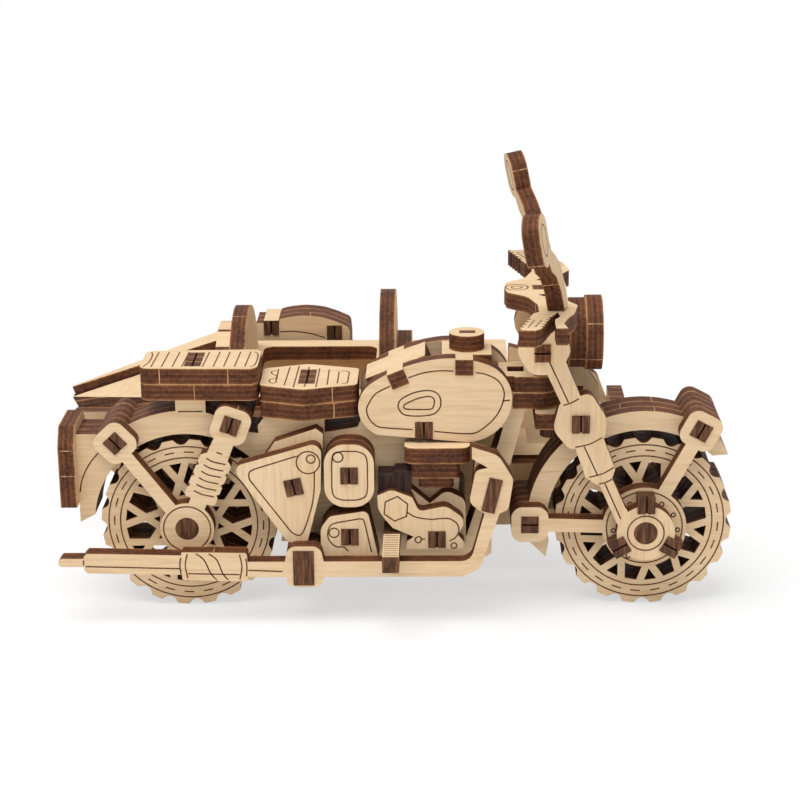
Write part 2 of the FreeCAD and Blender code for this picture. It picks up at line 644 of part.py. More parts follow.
def arm_outline(cx, cz, degrees, points):
    """Corners given along and across an arm that leaves a centre at an angle."""
    a = math.radians(degrees)
    return [(cx + u * math.cos(a) - w * math.sin(a), cz + u * math.sin(a) + w * math.cos(a)) for u, w in points]


def rear_stay(name, near):
    """Plate with the rear axle's ring, an arm to the fender and the ridged shock absorber."""
    x, z = -AXLE_X, AXLE_Z
    reach = FENDER_OUT - 3.5
    arm = arm_outline(x, z, REAR_ARMS[0], [(4.0, -1.6), (reach, -1.6), (reach, 1.6), (4.0, 1.6)])
    ridges = [(4.0, 2.1), (SHOCK_START, 2.1), (SHOCK_START, 3.4)]
    for k in range(SHOCK_RIDGES):
        end = SHOCK_START + SHOCK_PITCH * (k + 1)
        ridges += [(end - SHOCK_PITCH + 0.6, 4.0), (end - 0.6, 4.0), (end, 3.4)]
    ridges += [(end + 0.5, 2.7), (reach, 2.45)]
    shock = arm_outline(x, z, REAR_ARMS[1], ridges + [(u, -w) for u, w in reversed(ridges)])
    groups = [[circle(x, z, 6.6)], [arm], [shock]] + [[knob(*peg)] for peg in REAR_PEGS]
    holes = [circle(x, z, size("axle_radius") + size("axle_clearance"))] + peg_holes(REAR_PEGS)
    side_plate(name, groups, near, 1, holes)


# Fork, steering and front fender

def fork_leg(name, near):
    """Raked leg with an ear at the top, a knob at mid length and a round end with three peg notches."""
    x, z = AXLE_X, AXLE_Z
    upper = fit([(25.8, 72.4, 2.5), (24.2, 67.2, 4.5), (27.6, 61.6, 4.0), (31.6, 61.6), (36.0, 52.0), (41.0, 52.5),
                 (35.9, 64.8), (37.2, 68.0, 3.0), (34.4, 72.6, 3.0)])
    middle = fit([(34.6, 54.8, 2.0), (32.9, 48.0, 4.0), (37.2, 42.8, 2.0), (45.4, 45.8, 2.0), (45.8, 50.8, 4.0),
                  (41.8, 57.2, 2.0)])
    lower = fit([(37.9, 44.6), (41.0, 35.9), (43.1, 34.4), (44.4, 33.8), (46.6, 28.8), (49.4, 22.6), (54.5, 22.6),
                 (50.6, 28.2), (47.3, 35.7), (48.0, 38.0), (45.0, 46.0)])
    holes = [circle(x, z, size("axle_radius") + size("axle_clearance")), EAR_HOLE]
    side_plate(name, [[upper], [middle], [lower], [circle(x, z, END_RADIUS)]], near, 1,
               holes + peg_holes(LEG_PEGS + END_PEGS))


def stay_disc(name, near):
    """Brake disc with the two arms that hold the front fender."""
    x, z = AXLE_X, AXLE_Z
    groups = [[circle(x, z, 10.2)]]
    for (px, pz, turn), degrees in zip(FENDER_PEGS, FENDER_ARMS):
        reach = math.hypot(px - x, pz - z) - 3.5
        groups.append([arm_outline(x, z, degrees, [(8.0, -1.7), (reach, -1.7), (reach, 1.7), (8.0, 1.7)])])
        groups.append([knob(px, pz, turn)])
    holes = [circle(x, z, size("axle_radius") + size("axle_clearance"))] + peg_holes(FENDER_PEGS + END_PEGS)
    side_plate(name, groups, near, 1, holes)


def front_fender():
    """Curved strip of three plates over the front wheel, with a lug for each arm of the stays."""
    x, z = AXLE_X, AXLE_Z
    inner, outer = FENDER_IN + 0.5, FENDER_OUT - 0.6
    front = [V(*polar(x, z, r, a), 0) for r, a in ((inner, 46), (outer - 1.8, 40.5), (outer, 51))]
    rear = [V(*polar(x, z, r, a), 0) for r, a in ((outer, 190), (outer - 3.0, 201), (inner, 193))]
    strip = [arc(x, z, outer, 51, 190), Part.LineSegment(rear[0], rear[1]), Part.LineSegment(rear[1], rear[2]),
             arc(x, z, inner, 193, 46), Part.LineSegment(front[0], front[1]), Part.LineSegment(front[1], front[2])]
    groups = [[strip]] + [[lug(*peg)] for peg in FENDER_PEGS]
    for k, name in enumerate(("front_fender_near", "front_fender_middle", "front_fender_far")):
        side_plate(name, groups, -CORE + k * PLY, 1, peg_holes(FENDER_PEGS))


def fork_pegs():
    """Split pegs at the fork's knobs, round its ends and through the fender's lugs."""
    body = new_body("fork_pegs")
    pegs_along_y(body, "fender_pegs", FENDER_PEGS, -STAY - PROUD, STAY + PROUD)
    for side, near, far in (("near", -LEG, -STAY), ("far", STAY, LEG)):
        end0 = near - 2 * PROUD if side == "near" else CORE + PROUD
        end1 = -CORE - PROUD if side == "near" else far + 2 * PROUD
        pegs_along_y(body, side + "_end_pegs", END_PEGS, end0, end1, side == "near", side == "far")
        knob0 = near - 3 * PROUD if side == "near" else near
        knob1 = far if side == "near" else far + 3 * PROUD
        pegs_along_y(body, side + "_knob_peg", LEG_PEGS, knob0, knob1, side == "near", side == "far")
    put(body, 0, 0, 0)


def steering():
    """Upright pin through the frame's head, a yoke below it and a cross plate above."""
    half = LEG - PLY
    press = circle(PIN_X, 0, size("steer_radius") + PLAY)
    lower = box(PIN_X - 4.0, -half, PIN_X + 6.0, half, 1.0)
    lower_bottom = HEAD_TOP - 2 * PLY - YOKE_GAP
    flat_plate("yoke_lower", [[lower]], lower_bottom, [press])
    pin_bottom = lower_bottom - 4.6
    pin_top = HEAD_TOP + 2 * PLY + YOKE_GAP
    pin = doc.addObject("Part::Cylinder", "steering_pin")
    pin.Label = "steering_pin"
    pin.setExpression("Radius", "Sizes.steer_radius")
    pin.Height = pin_top - pin_bottom
    put(pin, PIN_X, 0, pin_bottom)
    out = LEG + 2 * PROUD
    tab = PEG / 2
    ear = at_z(EAR_Z)
    shoulder = BAR_TOP - PLY
    cross = arched([(-half, pin_top), (-half, ear - tab), (-out, ear - tab), (-out, ear - 0.25), (-out + 1.6, ear - 0.25),
                      (-out + 1.6, ear + 0.25), (-out, ear + 0.25), (-out, ear + tab), (-half, ear + tab),
                      (-6.0, shoulder), (-tab, shoulder), (-tab, BAR_TOP)])
    upper = cross_plate("yoke_upper", [[cross]], CROSS_X)
    light = at_z(68.2)
    add(upper, "lamp_bracket", "YZ_Plane", [box(-3.0, light - tab, 3.0, light + tab)], LAMP_X - CROSS_X - PLY, PLY)
    bore = circle(PIN_X, 0, size("steer_radius") + size("pin_clearance"))
    tip = PIN_X + 3.6
    head_x = at_x(26.8)
    rear = at_x(20.4)
    nose = [(PIN_X - 1.0, -7.0, 3.0), (tip, -2.2, 2.0), (tip, 2.2, 2.0), (PIN_X - 1.0, 7.0, 3.0)]
    block = [(head_x - 3.0, -7.0)] + nose + [(head_x - 3.0, 7.0), (head_x - 3.0, CORE), (head_x, CORE), (head_x, -CORE),
                                             (head_x - 3.0, -CORE)]
    inside = CORE - 0.1
    step = rear + 3.6
    cover = ([(rear, -inside), (step, -inside), (step, -6.6)] + nose + [(step, 6.6), (step, inside), (rear, inside)])
    slot = box(rear + 2.1, -tab, rear + 6.1, tab)
    collar = [(head_x + 1.9, -7.0, 2.0)] + nose + [(head_x + 1.9, 7.0, 2.0)]
    flat_plate("head_plate_lower", [[block]], HEAD_TOP - PLY, [bore])
    flat_plate("head_plate_middle", [[cover]], HEAD_TOP, [slot, bore])
    flat_plate("head_plate_upper", [[collar]], HEAD_TOP + PLY, [bore])


def serrated(start, end, count, depth):
    """Corners along a line with shallow notches to its right."""
    along = V(end[0] - start[0], end[1] - start[1], 0) / count
    side = V(along.y, -along.x, 0).normalize() * depth
    corners = []
    for k in range(count):
        for share, deep in ((0.0, 0), (0.45, 0), (0.6, 1), (0.85, 1)):
            point = V(start[0], start[1], 0) + along * (k + share) + side * deep
            corners.append((point.x, point.y))
    return corners + [end]


def handlebar():
    """Level plate with the gauge, two swept grips with notched edges and two levers."""
    reach = size("bar_half") - 38.0
    near = [(21.7, 0.0), (22.2, -4.6, 2.5), (27.0, -9.0, 6.0), (29.0, -16.0), (29.1, -22.5), (27.6, -24.1), (26.8, -27.3)]
    near += serrated((26.8, -27.3), (23.8, -38.0), 5, -0.6)[1:]
    near += [(27.6, -38.4)]
    near += serrated((29.1, -36.6), (31.6, -27.0), 5, -0.6)
    near += [(33.3, -23.1), (33.7, -26.7), (32.4, -29.2), (32.2, -31.9), (32.3, -36.7), (34.9, -36.6), (34.2, -32.7),
             (35.2, -28.7), (37.0, -24.4), (38.3, -16.8, 2.0), (36.2, -13.0, 2.0), (36.6, 0.0)]
    near = [(c[0], c[1] + reach * min(0.0, c[1] + 22.5) / 15.5) + tuple(c[2:]) for c in near]
    far = [(c[0], -c[1]) + tuple(c[2:]) for c in near[1:-1]]
    tab = PEG / 2 + PLAY
    slot = box(CROSS_X - PLAY, -tab, CROSS_X + PLY + PLAY, tab)
    holes = [[(29.5, side * 7.0), (34.2, side * 4.8), (34.2, side * 12.4)] for side in (-1, 1)]
    flat_plate("handlebar", [[lay(near + far[::-1])]], BAR_TOP - PLY, [slot] + [lay(hole) for hole in holes])


def mirror(name, side):
    """Oval mirror head on a curved stem, leaning back and turned outwards."""
    stem = [(-2.3, 0.0), (2.2, 0.0), (3.2, 5.0, 3.0), (6.4, 9.6, 3.0), (10.6, 11.8), (13.0, 15.0), (10.2, 17.6),
            (4.4, 14.4, 4.0), (0.0, 10.4, 3.0), (-1.9, 5.4)]
    head = turned_box(14.8, 20.7, 4.7, 6.5, -8.0, 4.6)
    groups = [[[(side * c[0],) + tuple(c[1:]) for c in outline]] for outline in (stem, head)]
    body = cut_plate(name, "YZ_Plane", groups)
    turn = FreeCAD.Rotation(V(0, 0, 1), side * 14).multiply(FreeCAD.Rotation(V(0, 1, 0), -17))
    put(body, at_x(32.2), side * 19.6, BAR_TOP, turn)


def headlight():
    """Two round plates, the front one larger."""
    body = new_body("headlight")
    add(body, "headlight_back", "YZ_Plane", [circle(0, 0, 8.4)])
    add(body, "headlight_rim", "YZ_Plane", [circle(0, 0, 9.0)], "Sizes.ply", PLY)
    put(body, LAMP_X, 0, at_z(68.2))


# Sidecar

def sidecar_walls():
    """Near and far side walls with a low rail that runs forward on the near side."""
    top = BELT - 2.6
    near = lay([(-86.5, top), (-86.5, 36.0, 2.0), (-62.0, RAIL, 4.0), (37.0, RAIL), (37.0, 29.0), (24.3, 29.0), (24.3, top)])
    side_plate("sidecar_wall_near", [[near]], CAR_NEAR)
    far = lay([(-69.0, 36.0, 3.0), (-58.0, RAIL, 4.0), (37.0, RAIL), (37.0, 29.0), (24.3, 29.0), (24.3, top), (-69.0, top, 3.0)])
    hole = circle(size("car_axle_x"), AXLE_Z, size("axle_radius") + size("axle_clearance"))
    side_plate("sidecar_wall_far", [[far]], CAR_FAR - PLY, 1, [hole])


def sidecar_decks():
    """Belt deck with the cockpit opening, the floor and the narrow plate on the near rail."""
    inner0, inner1 = CAR_NEAR + PLY, CAR_FAR - PLY
    cockpit = lay(box(-42.0, inner0 + 6, -11.0, inner1 - 6, 3.0))
    flat_plate("sidecar_deck", [[lay(box(TAIL_FRONT + 2.0, inner0, 24.3, inner1))]], BELT - PLY, [cockpit])
    floor = flat_plate("sidecar_floor", [[lay(box(-60.0, inner0, 30.0, inner1))]], FLOOR - PLY)
    add(floor, "rail_plate", "XY_Plane", [lay(box(24.6, inner0, 37.0, inner0 + 9.0))], "Sizes.ply", 30.0 - FLOOR)


def sidecar_bulkheads():
    """Arched backrest and windscreen across the cockpit."""
    middle = CAR_MIDDLE
    foot = BELT + 1.5
    for name, rear, half, top in (("sidecar_backrest", -48.0, 22.0, 62.3), ("sidecar_windscreen", -9.4, 23.0, 66.5)):
        arch = path([(middle - half, BELT), (middle - half, foot), [middle, BELT - 45.9 + top], (middle + half, foot),
                     (middle + half, BELT)])
        body = cross_plate(name, [[arch]], at_x(rear))
    add(body, "dashboard", "YZ_Plane", [box(middle - 21, BELT, middle + 21, BELT + 4.8, 3.0)], "Sizes.ply", PLY)


def sidecar_nose():
    """Upright plates of the rounded nose and the cross plate at its tip."""
    near = lay([(24.3, BELT - 7.3), (24.3, BELT), (24.3, BELT + 6.0), (36.0, BELT + 3.0, 8.0), (45.4, BELT - 1.1, 3.0),
                (47.8, BELT - 6.9), (47.8, BELT - 11.0), (26.0, BELT - 11.0)])
    far = lay([(24.3, BELT - 7.3), (24.3, BELT + 4.0), (38.0, BELT + 2.0, 8.0), (48.0, BELT - 3.0, 4.0), (51.0, BELT - 11.0),
               (26.0, BELT - 11.0)])
    side_plate("sidecar_nose_near", [[near]], CAR_MIDDLE - 2.0)
    body = side_plate("sidecar_nose_far", [[far]], CAR_MIDDLE + 2.0)
    add(body, "tip_plate", "YZ_Plane", [box(-12.0, BELT - 11.9, 2.0, BELT - 7.9)], "Sizes.ply", at_x(51.0))


def tilted_sheet(body, name, corners):
    """A sheet under a face whose corners are given in space."""
    origin = V(*corners[0])
    along = (V(*corners[1]) - origin).normalize()
    up = along.cross(V(*corners[2]) - origin).normalize()
    across = up.cross(along)
    outline = [((V(*c) - origin).dot(along), (V(*c) - origin).dot(across)) for c in corners]
    pad = add(body, name, "XY_Plane", [outline])
    pad.Profile[0].AttachmentOffset = FreeCAD.Placement(origin, FreeCAD.Rotation(along, across, up, "ZXY"))
    pad.Reversed = True


def sidecar_tail():
    """Boat tail: a narrow ridge sheet between two sloping facets, on a bulkhead and a keel."""
    middle = CAR_MIDDLE
    front, tip = at_x(TAIL_FRONT), at_x(-92.0)
    half = size("ridge_width") / 2
    crest, end = BELT + 9.1, BELT - 5.0
    body = new_body("sidecar_tail")
    bulkhead = path([(middle - 20, BELT), (middle - 20, BELT + 1.5), [middle, BELT + 12.0], (middle + 20, BELT + 1.5),
                     (middle + 20, BELT)])
    add(body, "tail_bulkhead", "YZ_Plane", [bulkhead], "Sizes.ply", front)
    tilted_sheet(body, "ridge", [(tip, middle + 0.4, end), (tip, middle - 0.4, end), (front, middle - half, crest),
                                 (front, middle + half, crest)])
    for label, side in (("near_facet", -1), ("far_facet", 1)):
        corners = [(tip, middle + side * 1.0, end - 2.6), (front, middle + side * 24.5, BELT - 0.7),
                   (front, middle + side * (half - 0.4), crest - 2.4)]
        tilted_sheet(body, label, corners[::-side])
    keel = [(tip + 3.0, end - 6.0), (front, crest - 6.0), (front, BELT - 16.0), (tip + 12.0, BELT - 16.0)]
    add(body, "keel", "XZ_Plane", [keel], "Sizes.ply", -middle - PLY / 2)
    put(body, 0, 0, 0)


def sidecar_guard():
    """Wheel guard: a panel beside the wheel and two curved plates above it."""
    x, z = size("car_axle_x"), AXLE_Z
    move = x + 29.5

    def shifted(corners):
        return [type(c)((c[0] + move, at_z(c[1])) + tuple(c[2:])) for c in corners]

    panel = shifted([(-46.0, 16.0), (-45.1, 49.6, 1.0), (-38.5, 51.8, 6.0), (-25.1, 51.8, 8.0), (-19.1, 47.6), (-19.1, 43.2),
                     (-12.6, 43.2), (-12.6, 16.0)])
    window = shifted(box(-42.9, 28.0, -15.2, 40.2))
    hole = circle(x, z, size("axle_radius") + size("axle_clearance"))
    side_plate("sidecar_guard_panel", [[panel]], CAR_FAR, 1, [window, hole] + peg_holes(GUARD_PEGS))
    start, end = (math.degrees(math.acos(reach / FENDER_IN)) for reach in (10.7, -15.2))
    top = shifted([(-44.7, 50.5), (-38.5, 51.8), (-30.2, 52.3), (-19.8, 50.2), (-18.8, 44.8)])
    corners = [polar(x, z, FENDER_IN, end)] + top + [polar(x, z, FENDER_IN, start)]
    arch = [arc(x, z, FENDER_IN, start, end)]
    arch += [Part.LineSegment(V(*a, 0), V(*b, 0)) for a, b in zip(corners, corners[1:])]
    side_plate("sidecar_guard_arch", [[arch]], CAR_FAR + PLY, 2, peg_holes(GUARD_PEGS))


def sidecar_beams():
    """Two level plates from the frame to the sidecar's near wall."""
    for name, x0, x1 in (("sidecar_beam_front", 1.0, 11.0), ("sidecar_beam_rear", -22.0, -12.0)):
        flat_plate(name, [[lay(box(x0, -CORE, x1, CAR_NEAR + PLY))]], RAIL - PLY)


def main():
    wheel("front_wheel", AXLE_X, 0, FRONT_TURN)
    wheel("rear_wheel", -AXLE_X, 0, REAR_TURN)
    axle("front_axle", AXLE_X, -LEG, LEG)
    axle("rear_axle", -AXLE_X, -STAY, STAY)
    build_frame()
    frame_pegs()
    number_board()
    tank()
    seats()
    covers()
    cylinder()
    exhaust()
    rear_stay("rear_stay_near", -STAY)
    rear_stay("rear_stay_far", CORE)
    fork_leg("fork_leg_near", -LEG)
    fork_leg("fork_leg_far", LEG - PLY)
    stay_disc("fender_stay_near", -STAY)
    stay_disc("fender_stay_far", CORE)
    front_fender()
    fork_pegs()
    steering()
    handlebar()
    mirror("mirror_near", -1)
    mirror("mirror_far", 1)
    headlight()
    sidecar_walls()
    sidecar_decks()
    sidecar_bulkheads()
    sidecar_tail()
    sidecar_nose()
    sidecar_guard()
    sidecar_beams()
    car_y = CAR_FAR + PLY + size("car_wheel_gap") + 1.5 * size("wheel_ply")
    wheel("sidecar_wheel", size("car_axle_x"), car_y, FRONT_TURN)
    axle("sidecar_axle", size("car_axle_x"), CAR_FAR - PLY, car_y + 1.5 * size("wheel_ply") + PLY)
    doc.recompute()
    for thing in doc.Objects:
        if {"Invalid", "Error"} & set(thing.State):
            raise RuntimeError("failed: %s %s" % (thing.Name, thing.State))
    for piece in PIECES:
        if piece.Shape.isNull() or not piece.Shape.isValid():
            raise RuntimeError("bad shape: " + piece.Label)
        piece.Shape.exportStep(os.path.join("parts", piece.Label + ".step"))
    box_all = PIECES[0].Shape.BoundBox
    for piece in PIECES:
        box_all.add(piece.Shape.BoundBox)
    print("pieces %d  X %.1f..%.1f  Y %.1f..%.1f  Z %.1f..%.1f" % (
        len(PIECES), box_all.XMin, box_all.XMax, box_all.YMin, box_all.YMax, box_all.ZMin, box_all.ZMax))


main()
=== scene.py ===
import math

import bmesh
import bpy
from bpy.props import FloatProperty, FloatVectorProperty, PointerProperty
from mathutils import Matrix, Vector
from mathutils.bvhtree import BVHTree


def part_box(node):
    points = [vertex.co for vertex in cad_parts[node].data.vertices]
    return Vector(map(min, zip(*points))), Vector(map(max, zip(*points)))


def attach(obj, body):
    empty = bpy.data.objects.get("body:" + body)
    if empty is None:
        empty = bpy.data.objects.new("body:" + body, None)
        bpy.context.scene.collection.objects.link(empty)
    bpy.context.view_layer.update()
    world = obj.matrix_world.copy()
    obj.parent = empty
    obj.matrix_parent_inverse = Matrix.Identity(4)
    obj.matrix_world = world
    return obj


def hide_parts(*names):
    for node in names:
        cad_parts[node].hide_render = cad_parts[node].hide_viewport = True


# Finish and studio for a plywood construction model of a motorcycle with a sidecar.
# Metres, in the frame of the CAD part: +X to the front wheel, +Y to the sidecar, +Z up.
# The drawn places below are in millimetres from midway between the motorcycle's axles.

bl_info = {
    "name": "Plywood Sidecar Motorcycle",
    "version": (1, 1, 0),
    "blender": (4, 5, 0),
    "location": "3D View > Sidebar > Plywood Model",
    "description": "Birch finish, engraved lines and pale studio for a plywood sidecar motorcycle",
    "category": "Object",
}

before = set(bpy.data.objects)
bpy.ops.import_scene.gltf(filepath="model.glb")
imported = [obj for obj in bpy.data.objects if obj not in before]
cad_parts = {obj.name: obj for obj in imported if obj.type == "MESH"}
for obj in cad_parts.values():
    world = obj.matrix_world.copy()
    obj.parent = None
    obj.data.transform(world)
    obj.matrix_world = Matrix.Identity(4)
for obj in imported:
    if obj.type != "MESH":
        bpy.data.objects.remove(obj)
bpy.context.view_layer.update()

MM = 0.001
MIDDLE = Vector((7.4, -28.95, 0.0))
PLY = 4.0
WHEEL_PLY = 3.8
AXLE_X = 55.7
AXLE_Z = 21.6
SIDECAR_AXLE_X = -29.5
SIDECAR_WHEEL_Y = 86.2
BELT = 45.9

# Outer faces of the motorcycle's side plates, out from its middle
FRAME_FACE = 1.5 * PLY
TANK_FACE = 2.5 * PLY
COVER_FACE = 3.5 * PLY
EXHAUST_FACE = 4.5 * PLY
# Near faces of the wheel guard's panel and of its two arch plates
PANEL_FACE = 76.0
ARCH_FACE = 80.0
# Upper faces of level plates and pegs
PILLION_TOP = 61.8
RIDER_TOP = 57.3
HANDLEBAR_TOP = 79.4
FOOT_PEG_TOP = 22.0
GUARD_PEG_TOP = 50.6

# The photo's camera: lens, place, and yaw, pitch and roll in degrees
LENS = 94.5
CAMERA_PLACE = (14.24, -517.34, 205.81)
CAMERA_TURN = (-1.222, 17.563, -0.627)
# Each lamp's place and width, and what both aim at, in metres
KEY_LAMP = ((-0.25, -0.35, 1.2), 0.9)
FILL_LAMP = ((0.5, -1.1, 0.35), 0.7)
LAMP_AIM = (0, 0, 0.04)
# The floor's half width, and the two radii between which it fades to white
FLOOR_REACH = 6.0
FADE = (0.09, 0.24)


# Settings that a user would change

def colour(name, description, default):
    return FloatVectorProperty(name=name, description=description, default=default,
                               size=3, min=0, max=1, subtype="COLOR")


class PLYMOTO_PG_wood(bpy.types.PropertyGroup):
    pale: colour("Pale birch", "Lighter tone of the sheet's faces", (0.77, 0.575, 0.36))
    warm: colour("Warm birch", "Darker tone of the grain in the faces", (0.62, 0.405, 0.215))
    char: colour("Char", "Darkest tone of the laser-cut edges", (0.042, 0.013, 0.006))
    toast: colour("Toast", "Lighter veneers in the laser-cut edges", (0.23, 0.082, 0.030))
    # The seam colour is partly the paler outer veneer at a sheet's rim and partly a painted highlight where
    # the rim catches the light
    seam: colour("Seam", "Thin golden line where an edge meets a face", (0.50, 0.27, 0.11))
    peg: colour("Peg", "Ends of the pegs", (0.10, 0.042, 0.020))
    line: colour("Engraving", "Engraved lines", (0.105, 0.043, 0.017))
    nib: colour("Nib", "Pale lines where a part was held in its sheet", (0.42, 0.24, 0.115))
    line_width: FloatProperty(name="Line width", description="Width of the engraved lines",
                              default=0.34 * MM, min=0.0001, max=0.001, unit="LENGTH")


class PLYMOTO_PG_studio(bpy.types.PropertyGroup):
    key_power: FloatProperty(name="Key", description="Power of the wide lamp overhead",
                             default=14.0, min=0, unit="POWER")
    fill_power: FloatProperty(name="Fill", description="Power of the lamp in front",
                              default=1.2, min=0, unit="POWER")
    world_level: FloatProperty(name="World", description="Strength of the light from all round",
                               default=0.46, min=0)


# Shader node groups

def add_node(tree, kind, **settings):
    """A node with its settings; the other keys are inputs, given as a value or a socket."""
    node = tree.nodes.new("ShaderNode" + kind)
    inputs = settings.pop("inputs", {})
    for key, value in settings.items():
        setattr(node, key, value)
    for key, value in inputs.items():
        if isinstance(value, bpy.types.NodeSocket):
            tree.links.new(value, node.inputs[key])
        else:
            node.inputs[key].default_value = value
    return node


def maths(tree, operation, first, second=0.0):
    return add_node(tree, "Math", operation=operation, inputs={0: first, 1: second}).outputs[0]


def vector_maths(tree, operation, first, second):
    return add_node(tree, "VectorMath", operation=operation, inputs={0: first, 1: second})


def blend_colours(tree, factor, first, second):
    """A mix of two colours; a mix node's colour sockets come after those of its other data types."""
    sockets = {0: factor, 6: first, 7: second}
    return add_node(tree, "Mix", data_type="RGBA", inputs=sockets).outputs[2]


def spread(tree, value, low, high, to_low=0.0, to_high=1.0):
    """A smooth step of a value between two levels."""
    return add_node(tree, "MapRange", interpolation_type="SMOOTHSTEP", inputs={
        "Value": value, "From Min": low, "From Max": high,
        "To Min": to_low, "To Max": to_high}).outputs[0]


def noise(tree, place, scale, detail, rough=0.5):
    return add_node(tree, "TexNoise", inputs={
        "Vector": place, "Scale": scale, "Detail": detail, "Roughness": rough}).outputs[0]


def new_group(name, inputs):
    """A node group for a colour and a height: its tree and its inner input and output nodes."""
    tree = bpy.data.node_groups.new(name, "ShaderNodeTree")
    for way, sockets in (("INPUT", inputs), ("OUTPUT", (("Color", "Color"), ("Height", "Float")))):
        for label, kind in sockets:
            tree.interface.new_socket(label, in_out=way, socket_type="NodeSocket" + kind)
    return tree, tree.nodes.new("NodeGroupInput"), tree.nodes.new("NodeGroupOutput")


# Noise scales per metre: streaks, figure and flecks of a face, then grit and patches of an edge
STREAK_SCALE = 1500.0
FIGURE_SCALE = 190.0
FLECK_SCALE = 900.0
GRIT_SCALE = 1300.0
PATCH_SCALE = 230.0
# How far streaks and figure turn the pale tone into the warm one, and flecks into their own
STREAK_SHARE = 0.5
FIGURE_SHARE = 0.26
FLECK_SHARE = 0.30
FLECK_TONE = (0.42, 0.24, 0.11, 1.0)
# The veneers of an edge: place through the sheet and share of toast
VENEERS = ((0.0, 0.8), (0.1, 0.45), (0.24, 0.16), (0.35, 0.6), (0.43, 0.12), (0.57, 0.08),
           (0.66, 0.55), (0.8, 0.2), (0.9, 0.5), (1.0, 0.8))
# How far grit shifts a veneer and the seam's painted highlight reaches in, in sheets, and how strongly grit
# burns
GRIT_SHIFT = 0.09
SEAM_HIGHLIGHT_REACH = 0.07
GRIT_BURN = 1.25


def birch_face_group():
    """Fine streaks and a slow figure along the grain of a pale sheet."""
    tree, given, result = new_group("birch_face", (
        ("Grain Place", "Vector"), ("Pale", "Color"), ("Warm", "Color")))
    place = given.outputs["Grain Place"]
    fine = noise(tree, place, STREAK_SCALE, 3.0, 0.6)
    figure = noise(tree, place, FIGURE_SCALE, 3.0)
    streak = spread(tree, fine, 0.38, 0.72)
    body = spread(tree, figure, 0.35, 0.68)
    share = maths(tree, "ADD", maths(tree, "MULTIPLY", streak, STREAK_SHARE),
                  maths(tree, "MULTIPLY", body, FIGURE_SHARE))
    tone = blend_colours(tree, share, given.outputs["Pale"], given.outputs["Warm"])
    fleck = spread(tree, noise(tree, place, FLECK_SCALE, 2.0), 0.66, 0.76, 0.0, FLECK_SHARE)
    dark = blend_colours(tree, fleck, tone, FLECK_TONE)
    tree.links.new(dark, result.inputs["Color"])
    tree.links.new(fine, result.inputs["Height"])
    return tree


def scorched_edge_group():
    """Dark veneers of a laser-cut edge, with a golden line at each sheet's rim that is partly its paler
    outer veneer and partly a painted highlight; Depth counts sheets through the thickness.
    """
    tree, given, result = new_group("scorched_edge", (
        ("Depth", "Float"), ("Place", "Vector"), ("Char", "Color"),
        ("Toast", "Color"), ("Seam", "Color")))
    fine = noise(tree, given.outputs["Place"], GRIT_SCALE, 3.0, 0.65)
    patches = noise(tree, given.outputs["Place"], PATCH_SCALE, 3.0, 0.6)
    shift = maths(tree, "MULTIPLY", maths(tree, "SUBTRACT", fine, 0.5), GRIT_SHIFT)
    depth = maths(tree, "FRACT", maths(tree, "ADD", given.outputs["Depth"], shift))
    ramp = add_node(tree, "ValToRGB", inputs={0: depth})
    elements = ramp.color_ramp.elements
    for spot, share in VENEERS[1:-1]:
        elements.new(spot)
    for element, (spot, share) in zip(elements, VENEERS):
        element.position = spot
        element.color = (share, share, share, 1.0)
    burn = maths(tree, "MULTIPLY", ramp.outputs[0], spread(tree, patches, 0.3, 0.66, 0.3, 1.2))
    grit = maths(tree, "MULTIPLY", maths(tree, "SUBTRACT", fine, 0.43), GRIT_BURN)
    burn = maths(tree, "ADD", burn, grit)
    base = blend_colours(tree, maths(tree, "MINIMUM", maths(tree, "MAXIMUM", burn, 0.0), 1.0),
                         given.outputs["Char"], given.outputs["Toast"])
    # Golden line at each sheet's rim: partly its paler outer veneer, partly a painted highlight where the
    # rim catches the light
    nearest = maths(tree, "MINIMUM", depth, maths(tree, "SUBTRACT", 1.0, depth))
    seam = maths(tree, "MULTIPLY", spread(tree, nearest, 0.0, SEAM_HIGHLIGHT_REACH, 1.0, 0.0),
                 spread(tree, patches, 0.25, 0.6, 0.3, 1.0))
    tree.links.new(blend_colours(tree, seam, base, given.outputs["Seam"]), result.inputs["Color"])
    tree.links.new(burn, result.inputs["Height"])
    return tree


def rgba(value):
    return (*value, 1.0)


# Finishes

# How far the noise is drawn out along the grain of a face, and up a burnt end
GRAIN = {"X": (0.075, 1.0, 1.0), "Y": (1.0, 0.075, 1.0), "Z": (1.0, 1.0, 0.075)}
BURNT_GRAIN = (1.0, 1.0, 0.12)
AXES = {"X": Vector((1, 0, 0)), "Y": Vector((0, 1, 0)), "Z": Vector((0, 0, 1)),
        "-Y": Vector((0, -1, 0)), "-Z": Vector((0, 0, -1))}
FACE_COSINE = 0.93  # over this, a normal is along its sheet's and the surface is a face
SPECULAR = 0.2
CHARRED = (0.028, 0.013, 0.009)


